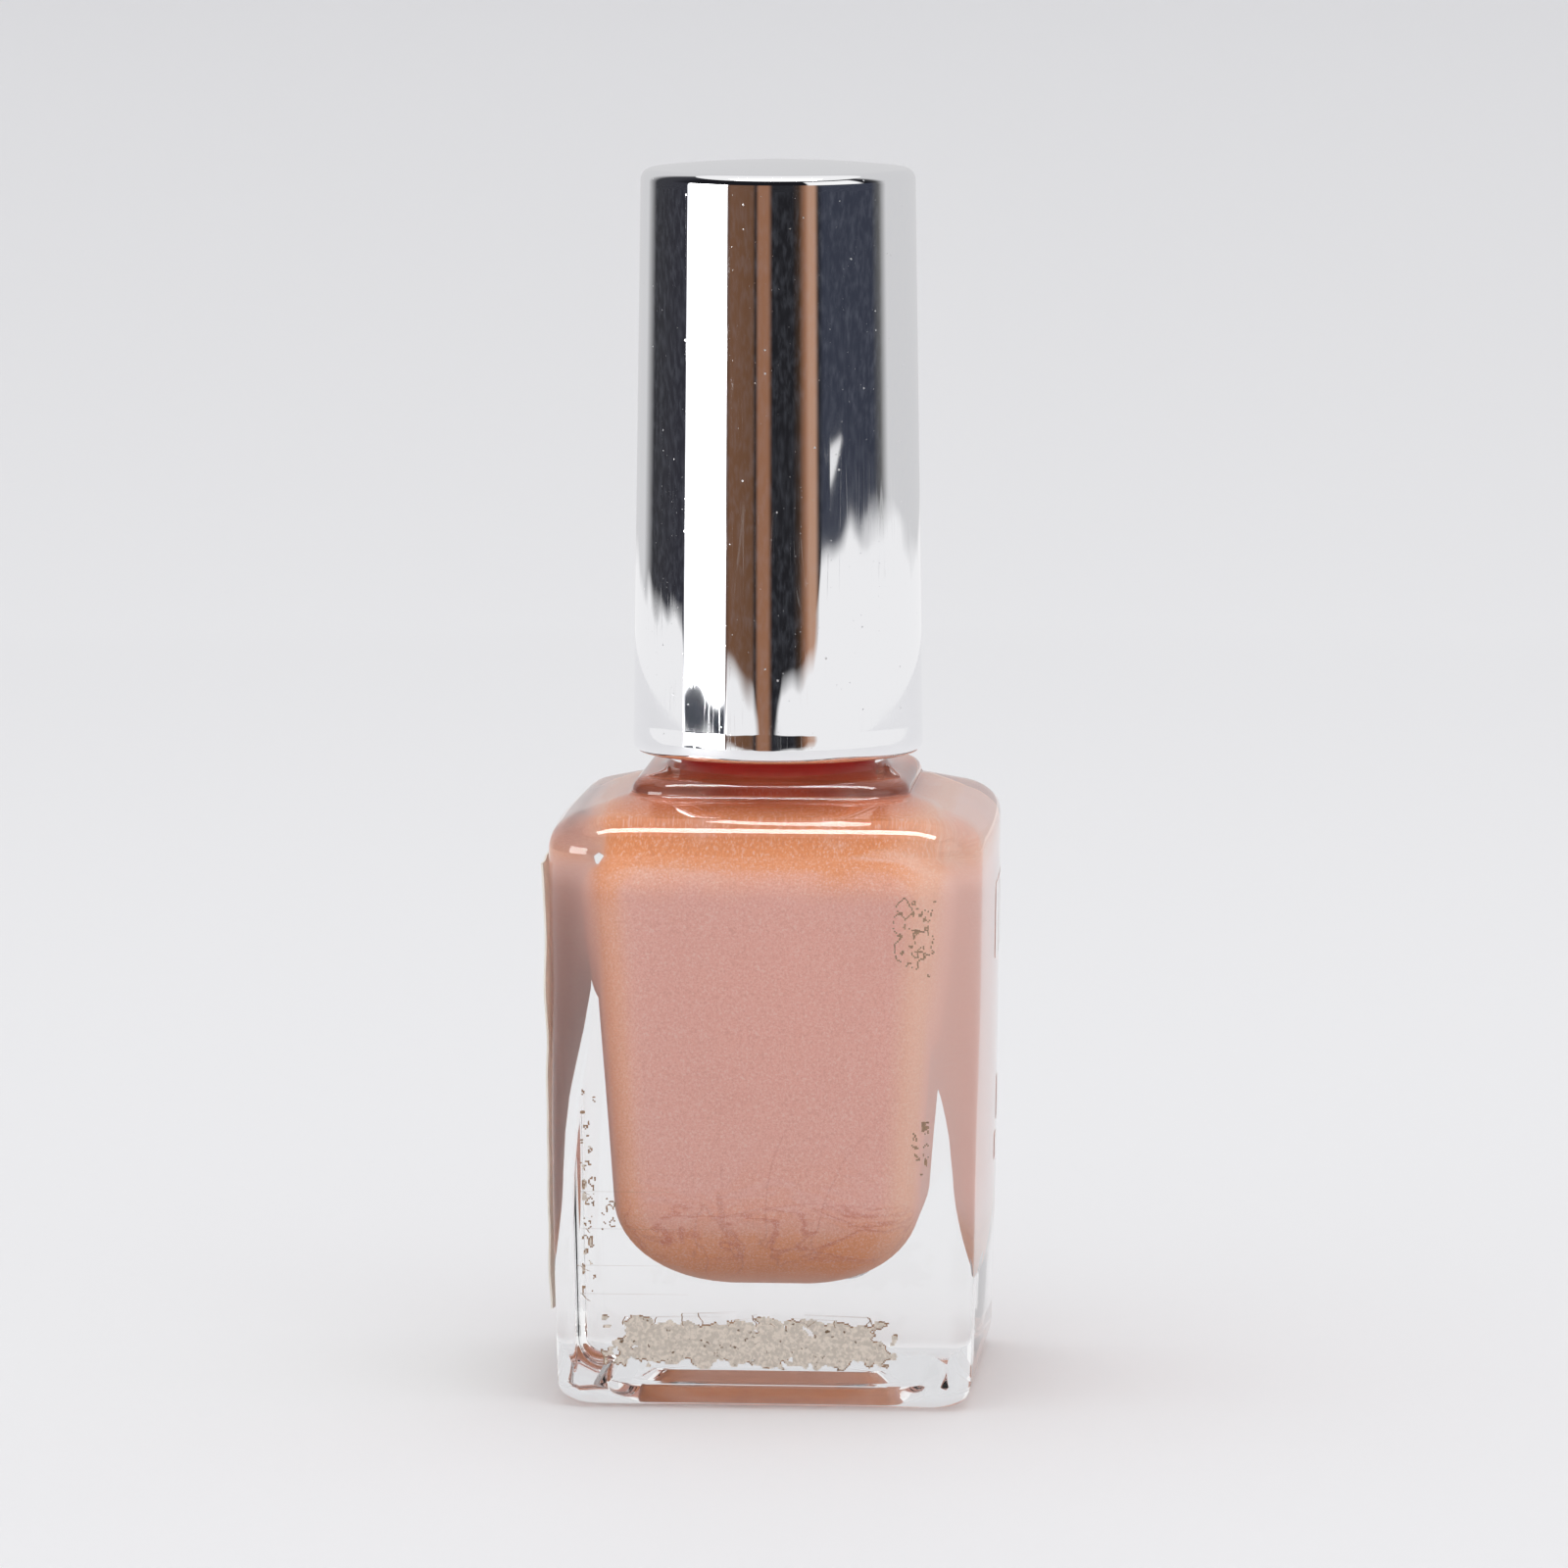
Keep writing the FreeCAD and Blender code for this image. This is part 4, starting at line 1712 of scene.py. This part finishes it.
    def build_strands(self, glass: Glass) -> list[bpy.types.Object]:
        """Build the fine threads that stand up from the torn glue.

        Args:
            glass: the bottle that they lie on.

        Returns:
            The strands.
        """
        strands = []
        chance = random.Random(11)
        roots = [(x * 1.55 - 8.2 + chance.uniform(-0.5, 0.5), 5.0) for x in range(11)]
        roots += [(-10.2, z) for z in (6.4, 8.2, 10.5, 12.8)]
        for index, (x, z) in enumerate(roots):
            start_clean()
            bpy.ops.mesh.primitive_circle_add(
                vertices=5, radius=0.035 * MM, location=(x * MM, 0, z * MM), fill_type="NGON"
            )
            strand = name_new(f"strand_{index}")
            bpy.ops.object.mode_set(mode="EDIT")
            bpy.ops.mesh.select_all(action="SELECT")
            lean = chance.uniform(-1.2, 1.2)
            for _ in range(chance.randint(5, 12)):
                lean = max(-1.5, min(1.5, lean + chance.uniform(-0.8, 0.8)))
                step = (0.11 * math.sin(lean) * MM, 0, 0.11 * math.cos(lean) * MM)
                bpy.ops.mesh.extrude_region_move(TRANSFORM_OT_translate={"value": step})
            bpy.ops.transform.resize(value=(0.4, 0.4, 1), center_override=(0, 0, 0))
            bpy.ops.mesh.select_all(action="SELECT")
            bpy.ops.mesh.normals_make_consistent(inside=False)
            bpy.ops.object.mode_set(mode="OBJECT")
            for vert in strand.data.vertices:
                vert.co.y -= (glass.flat_side(vert.co.z / MM) + 0.03) * MM
            strand.data.materials.append(self.glue)
            strand.data.materials.append(self.rim)
            for face in strand.data.polygons:
                face.material_index = 1
            strands.append(strand)
        return strands


@dataclass
class SidePrint:
    """Plain white printed bars on the right face (millimetres).

    Each of its rows is (height of the middle, how tall, place along Y).
    """

    thickness: float = 0.02
    width: float = 2.7
    rows: tuple[Point, ...] = (
        (27.6, 4.6, 8.4), (27.6, 4.6, 5.0), (27.6, 4.6, 1.6), (16.0, 2.6, 7.0), (13.4, 1.6, 4.4),
    )

    def assemble(self, glass: Glass) -> None:
        """Build, dress and fit the bars.

        Args:
            glass: the bottle that they are printed on.
        """
        bars = self.build(glass)
        dress(bars, Ink().make())
        fit(bars, Body.BOTTLE, "label_paper")

    def build(self, glass: Glass) -> bpy.types.Object:
        """Build the bars.

        Args:
            glass: the bottle that they are printed on.

        Returns:
            The bars, one piece.
        """
        bars = []
        for index, (z, tall, y) in enumerate(self.rows):
            start_clean()
            bpy.ops.mesh.primitive_cube_add(size=1.0, location=(0, y * MM, z * MM))
            bar = bpy.context.object
            bar.scale = (self.thickness * MM, self.width * MM, tall * MM)
            bar = name_new(f"bar_{index}")
            bpy.ops.object.mode_set(mode="EDIT")
            pick(bar, "edges", lambda e: abs(e.verts[0].co.x - e.verts[1].co.x) > 1e-6)
            bpy.ops.mesh.bevel(offset=0.4 * MM, segments=5)
            bpy.ops.object.mode_set(mode="OBJECT")
            for vert in bar.data.vertices:
                face = glass.side(vert.co.z / MM, vert.co.y / MM)
                vert.co.x += (face + self.thickness / 2 + 0.02) * MM
            bars.append(bar)
        whole = join("side_print", bars)
        smooth(whole, 40, weighted=False)
        return whole


@dataclass
class Bristles:
    """The bundle of bristles that the stem grips (millimetres)."""

    top_z: float = 26.4
    tip_z: float = 9.7
    fibre_r: float = 0.055
    count: int = 190
    levels: int = 8

    def assemble(self) -> None:
        """Build, dress and fit the bundle."""
        bundle = self.build()
        dress(bundle, Fibre().make())
        fit(bundle, Body.BRUSH, "bristle", "bristle_tuft")

    def build(self) -> bpy.types.Object:
        """Build the bundle from one tapered fibre.

        Returns:
            The bundle, one piece.
        """
        start_clean()
        length = self.top_z - self.tip_z
        bpy.ops.mesh.primitive_cylinder_add(
            vertices=5, radius=self.fibre_r * MM, depth=length * MM,
            location=(0, 0, (self.top_z + self.tip_z) / 2 * MM),
        )
        fibre = name_new("fibre")
        bpy.ops.object.mode_set(mode="EDIT")
        pick(fibre, "edges", lambda e: abs(e.verts[0].co.z - e.verts[1].co.z) > 1e-5)
        bpy.ops.mesh.subdivide(number_cuts=self.levels)
        pick(fibre, "verts", lambda v: v.co.z < (self.tip_z + 0.1) * MM)
        bpy.ops.transform.resize(value=(0.25, 0.25, 1), center_override=(0, 0, self.tip_z * MM))
        bpy.ops.object.mode_set(mode="OBJECT")
        fibres = [self.place(fibre, index) for index in range(self.count)]
        bpy.data.objects.remove(fibre)
        bundle = join("bristles", fibres)
        bpy.ops.object.mode_set(mode="EDIT")
        for level in range(self.levels + 2):
            z = self.top_z - length * level / (self.levels + 1)
            pick(bundle, "verts", lambda v: abs(v.co.z / MM - z) < length / (self.levels + 1) / 2)
            swell = self.swell((self.top_z - z) / length)
            bpy.ops.transform.resize(value=(swell, swell, 1), center_override=(0, 0, z * MM))
        bpy.ops.object.mode_set(mode="OBJECT")
        smooth(bundle, 60, weighted=False)
        return bundle

    def place(self, fibre: bpy.types.Object, index: int) -> bpy.types.Object:
        """Copy the fibre to its seat in the bundle, each with its own mesh and length.

        Args:
            fibre: the fibre to copy.
            index: number of the copy.

        Returns:
            The copy.
        """
        chance = random.Random(index)
        radius = math.sqrt((index + 0.5) / self.count)
        angle = index * GOLDEN_ANGLE
        copy = fibre.copy()
        copy.data = fibre.data.copy()
        bpy.context.collection.objects.link(copy)
        drop = radius**2 * 1.5 + chance.random() * 0.5
        for vert in copy.data.vertices:
            share = (self.top_z * MM - vert.co.z) / ((self.top_z - self.tip_z) * MM)
            wander = share * share * 0.1
            vert.co.x += (radius * math.cos(angle) + wander * chance.uniform(-0.4, 0.4)) * MM
            vert.co.y += (radius * math.sin(angle) + wander * chance.uniform(-0.4, 0.4)) * MM
            if share > 0.99:
                vert.co.z += drop * MM
        return copy

    def swell(self, share: float) -> float:
        """Width of the bundle along its length.

        Args:
            share: 0 at the stem, 1 at the tip.

        Returns:
            The factor on the gripped width.
        """
        return 0.92 + 0.62 * math.sin(min(1.0, share * 1.35) * math.pi / 2) - 0.55 * share**4


@dataclass
class Studio:
    """Pale floor, plain soft light and the camera."""

    distance: float = 0.570
    azimuth: float = 4.4
    eye_z: float = 0.1055
    pitch: float = 6.97
    lens: float = 219.7
    aside: float = 0.00035
    card_r: float = 0.43
    card_height: float = 0.62
    paper_height: float = 0.03
    ragged: float = 0.0016
    strip_power: float = 9.0
    bar_power: float = 16.0
    surround: float = 0.945
    pool_power: float = 0.8

    def build_floor(self) -> None:
        """Lay a pale floor that rises far behind into a backdrop."""
        start_clean()
        bpy.ops.mesh.primitive_plane_add(size=4.0, location=(0, 0, 0))
        floor = name_new("floor")
        bpy.ops.object.mode_set(mode="EDIT")
        pick(floor, "edges", lambda e: all(v.co.y > 1.9 for v in e.verts))
        for step in range(12):
            angle = math.pi / 2 * (step + 0.5) / 12
            move = (0, 0.06 * math.cos(angle), 0.06 * math.sin(angle))
            bpy.ops.mesh.extrude_region_move(TRANSFORM_OT_translate={"value": move})
        bpy.ops.mesh.extrude_region_move(TRANSFORM_OT_translate={"value": (0, 0, 3.0)})
        bpy.ops.object.mode_set(mode="OBJECT")
        smooth(floor, 60, weighted=False)
        finish = Finish("pale_floor", {"Roughness": 0.7, "Specular IOR Level": 0.1})
        grain = finish.noise(1.2, 4.0)
        finish.feed("Base Color", finish.desk.blend(
            finish.desk.maths("MULTIPLY", grain, 0.2), (0.82, 0.82, 0.832), (0.79, 0.79, 0.80)))
        dress(floor, finish.material)

    def build_cards(self) -> None:
        """Stand a ring of painted cards round the bottle, seen only in reflections."""
        start_clean()
        bpy.ops.mesh.primitive_cylinder_add(
            vertices=128, radius=self.card_r, depth=self.card_height,
            location=(0, 0, self.card_height / 2), end_fill_type="NOTHING",
        )
        ring = name_new("reflection_cards")
        desk, output = self.card_material(ring)
        glow = self.paint_cards(desk)
        desk.tree.links.new(glow.outputs[0], output.inputs[0])

    def build_bar(self) -> None:
        """Hang a bright bar overhead, seen only in reflections."""
        start_clean()
        bpy.ops.mesh.primitive_plane_add(size=1.0, location=(0, -0.16, 0.62))
        bar = bpy.context.object
        bar.scale = (0.5, 0.17, 1)
        bar = name_new("overhead_bar")
        desk, output = self.card_material(bar)
        glow = desk.add("ShaderNodeEmission", {"Strength": self.bar_power})
        desk.tree.links.new(glow.outputs[0], output.inputs[0])

    def paint_cards(self, desk: NodeDesk) -> bpy.types.Node:
        """Paint the cards by angle from the camera and by height.

        Args:
            desk: the cards' desk.

        Returns:
            The node that glows.
        """
        place = desk.add("ShaderNodeTexCoord").outputs["Object"]
        parts = desk.add("ShaderNodeSeparateXYZ", {0: place})
        ahead = desk.maths("MULTIPLY", parts.outputs[1], -1.0)
        across = desk.maths("ARCTAN2", parts.outputs[0], ahead)
        turned = desk.maths("SUBTRACT", across, math.radians(self.azimuth))
        share = desk.between(turned, -math.pi, math.pi)
        high = parts.outputs[2]
        spread = desk.add("ShaderNodeCombineXYZ", {
            0: desk.maths("MULTIPLY", share, 19.0), 1: desk.maths("MULTIPLY", high, 150.0)})
        stir = desk.add("ShaderNodeTexNoise", {
            "Vector": spread.outputs[0], "Scale": 1.0, "Detail": 1.0})
        wander = desk.between(stir.outputs[0], 0.3, 0.7, -self.ragged, self.ragged)
        level = desk.maths("ADD", high, wander)
        colour = desk.ramp(share, self.stops(self.card_bands()))
        in_strip = self.window(desk, share, (-80.5, -79.7, -43, -42))
        under = desk.maths("MULTIPLY", in_strip, desk.between(level, 0.0066, 0.0050))
        colour = desk.blend(under, colour, (0.05, 0.055, 0.07))
        cloud = desk.add("ShaderNodeTexNoise", {
            "Vector": spread.outputs[0], "Scale": 4.0, "Detail": 5.0, "Roughness": 0.7})
        misty = desk.between(cloud.outputs[0], 0.45, 0.8, 0.0, 0.12)
        colour = desk.blend(misty, colour, (0.5, 0.53, 0.62))
        wide = desk.between(
            desk.maths("ABSOLUTE", turned), math.radians(80), math.radians(105), 1.0, 0.0)
        over_cards = desk.between(high, 0.17, 0.178)
        above = desk.maths("MULTIPLY", wide, over_cards)
        colour = desk.blend(above, colour, (0.012, 0.012, 0.015))
        colour = desk.blend(self.spot(desk, turned, level), colour, (0.85, 0.85, 0.86))
        in_patch = self.window(desk, share, (24, 26, 74, 78))
        tall = desk.maths("MULTIPLY", over_cards, desk.between(high, 0.50, 0.485))
        colour = desk.blend(desk.maths("MULTIPLY", in_patch, tall), colour, (1.0, 1.0, 1.0))
        edge = desk.ramp(share, self.stops(self.paper_bands()))
        paper_top = desk.maths("MULTIPLY", edge, self.paper_height)
        on_paper = desk.between(
            desk.maths("SUBTRACT", paper_top, level), -self.ragged, self.ragged)
        colour = desk.blend(on_paper, colour, (0.9, 0.9, 0.91))
        shaded = desk.maths("SUBTRACT", 1.0, desk.maths("MAXIMUM", under, above))
        bright = desk.maths("MULTIPLY", in_strip, shaded)
        power = desk.between(bright, 0.0, 1.0, 1.0, self.strip_power)
        return desk.add("ShaderNodeEmission", {"Color": colour, "Strength": power})

    def window(self, desk: NodeDesk, share: bpy.types.NodeSocket,
               angles: tuple[float, float, float, float]) -> bpy.types.NodeSocket:
        """Mask a stretch of the ring of cards.

        Args:
            desk: the cards' desk.
            share: place round the ring, from 0 to 1.
            angles: where the stretch starts, is full, starts to end and has ended, in degrees.

        Returns:
            The mask socket.
        """
        black, white = (0, 0, 0), (1, 1, 1)
        return desk.ramp(share, self.stops(tuple(zip(angles, (black, white, white, black)))))

    def spot(self, desk: NodeDesk, turned: bpy.types.NodeSocket,
             level: bpy.types.NodeSocket) -> bpy.types.NodeSocket:
        """Mask a small pointed scrap of paper low on the cards.

        Args:
            desk: the cards' desk.
            turned: angle from the camera, in radians.
            level: height with a slow wander, in metres.

        Returns:
            The mask socket.
        """
        point = desk.between(turned, math.radians(42.0), math.radians(58.0), 0.0024, -0.0004)
        gap = desk.maths("ABSOLUTE", desk.maths("SUBTRACT", level, 0.0305))
        return desk.maths(
            "MULTIPLY", desk.between(desk.maths("SUBTRACT", point, gap), 0.0, 0.0006),
            desk.maths("GREATER_THAN", turned, math.radians(42.4)))

    def card_material(self, card: bpy.types.Object) -> tuple[NodeDesk, bpy.types.Node]:
        """Hide a card from all but mirror reflections and start its material.

        Args:
            card: the card.

        Returns:
            Its desk and its output node.
        """
        card.visible_camera = False
        card.visible_diffuse = False
        card.visible_transmission = False
        card.visible_shadow = False
        material = bpy.data.materials.new(card.name)
        material.use_nodes = True
        material.node_tree.nodes.clear()
        desk = NodeDesk(material.node_tree)
        dress(card, material)
        return desk, desk.add("ShaderNodeOutputMaterial")

    def stops(self, bands: Sequence[tuple[float, Colour]]) -> list[tuple[float, Colour]]:
        """Turn angles from the camera, in degrees, into shares of the circle.

        Args:
            bands: (angle, colour) pairs.

        Returns:
            (share, colour) stops.
        """
        return [((degrees + 180) / 360, colour) for degrees, colour in bands]

    def card_bands(self) -> list[tuple[float, Colour]]:
        """Colours of the cards by angle from the camera.

        Returns:
            (angle, colour) pairs.
        """
        pale = (0.66, 0.66, 0.67)
        ink = (0.016, 0.016, 0.019)
        navy = (0.04, 0.045, 0.065)
        white = (1.0, 1.0, 1.0)
        brown = (0.17, 0.085, 0.05)
        tan = (0.30, 0.145, 0.085)
        sand = (0.48, 0.28, 0.19)
        bands = (
            (-138, pale), (-122, (0.04, 0.04, 0.045)), (-80.5, (0.03, 0.03, 0.04)), (-79.7, white),
            (-43.5, white), (-42.5, ink), (-40, brown), (-21, (0.14, 0.07, 0.04)), (-18, ink),
            (-16, tan), (-8, tan), (-5, ink), (12, ink), (17, (0.05, 0.03, 0.02)), (22, tan),
            (25, sand), (30, sand), (33, ink), (37, navy), (84, navy), (92, (0.12, 0.12, 0.12)),
            (101, pale),
        )
        return list(bands)

    def paper_bands(self) -> list[tuple[float, Colour]]:
        """Height of the white paper that lies before the cards, as shares of paper_height.

        Returns:
            (angle, grey) pairs.
        """
        heights = (
            (-140, 0.30), (-112, 0.33), (-88, 0.37), (-82, 0.38), (-80, 0.0), (-43, 0.0),
            (-41, 0.27), (-20, 0.24), (-14, 0.03), (-4, 0.0), (3, 0.28), (28, 0.36), (32, 0.46),
            (35, 0.68), (60, 0.74), (84, 0.70), (100, 0.72), (125, 0.50), (145, 0.40),
        )
        return [(angle, (share, share, share)) for angle, share in heights]

    def build_lights(self) -> None:
        """Fill the set with even light and add a soft pool from above."""
        world = bpy.data.worlds.new("soft_surround")
        bpy.context.scene.world = world
        world.use_nodes = True
        background = world.node_tree.nodes["Background"]
        background.inputs[0].default_value = (1.0, 1.0, 1.008, 1.0)
        background.inputs[1].default_value = self.surround
        start_clean()
        bpy.ops.object.light_add(
            type="AREA", location=(0.12, -0.12, 0.75), rotation=(0.16, 0.16, 0)
        )
        light = bpy.context.object
        light.data.shape = "RECTANGLE"
        light.data.size = light.data.size_y = 0.5
        light.data.energy = self.pool_power
        light.visible_glossy = False

    def build_camera(self) -> None:
        """Set up the camera."""
        start_clean()
        turn = math.radians(self.azimuth)
        place = (
            self.distance * math.sin(turn) + self.aside * math.cos(turn),
            -self.distance * math.cos(turn) + self.aside * math.sin(turn),
            self.eye_z,
        )
        bpy.ops.object.camera_add(
            location=place, rotation=(math.radians(90 - self.pitch), 0, turn)
        )
        camera = bpy.context.object
        camera.data.lens = self.lens
        camera.data.sensor_width = 36.0
        camera.data.clip_start = 0.01
        bpy.context.scene.camera = camera

    def build(self) -> None:
        """Build the whole set."""
        self.build_floor()
        self.build_cards()
        self.build_bar()
        self.build_lights()
        self.build_camera()
        bpy.context.scene.view_settings.view_transform = "Standard"


def main() -> None:
    """Build the pieces, fit them to the frame and light them."""
    logging.basicConfig(level=logging.INFO, format="%(message)s")
    soft_white = Moulded("washer_plastic", (0.78, 0.78, 0.75), 0.5).make()
    hollow = Hollow()
    glass = Glass()
    glass.assemble(hollow)
    Filling().assemble(glass, hollow)
    Shell().assemble()
    Label().assemble(glass)
    dried = DriedGlue().make()
    torn = DriedGlue((0.27, 0.17, 0.11), (0.09, 0.055, 0.035)).make("torn_rim")
    GlueRemains(dried, torn).assemble(glass)
    SidePrint().assemble(glass)
    Bristles().assemble()
    InnerCap().assemble(glass, soft_white)
    Stem().assemble()

    nodes = frame["nodes"]
    dress(nodes["sealing_washer"], soft_white)
    dress(nodes["brush_staple"], Metal("brass_wire", (0.72, 0.55, 0.27)).make())
    dress(nodes["mixing_balls"], Metal("ball_steel", (0.6, 0.6, 0.62), 0.15).make())

    Studio().build()


if __name__ == "__main__":
    main()
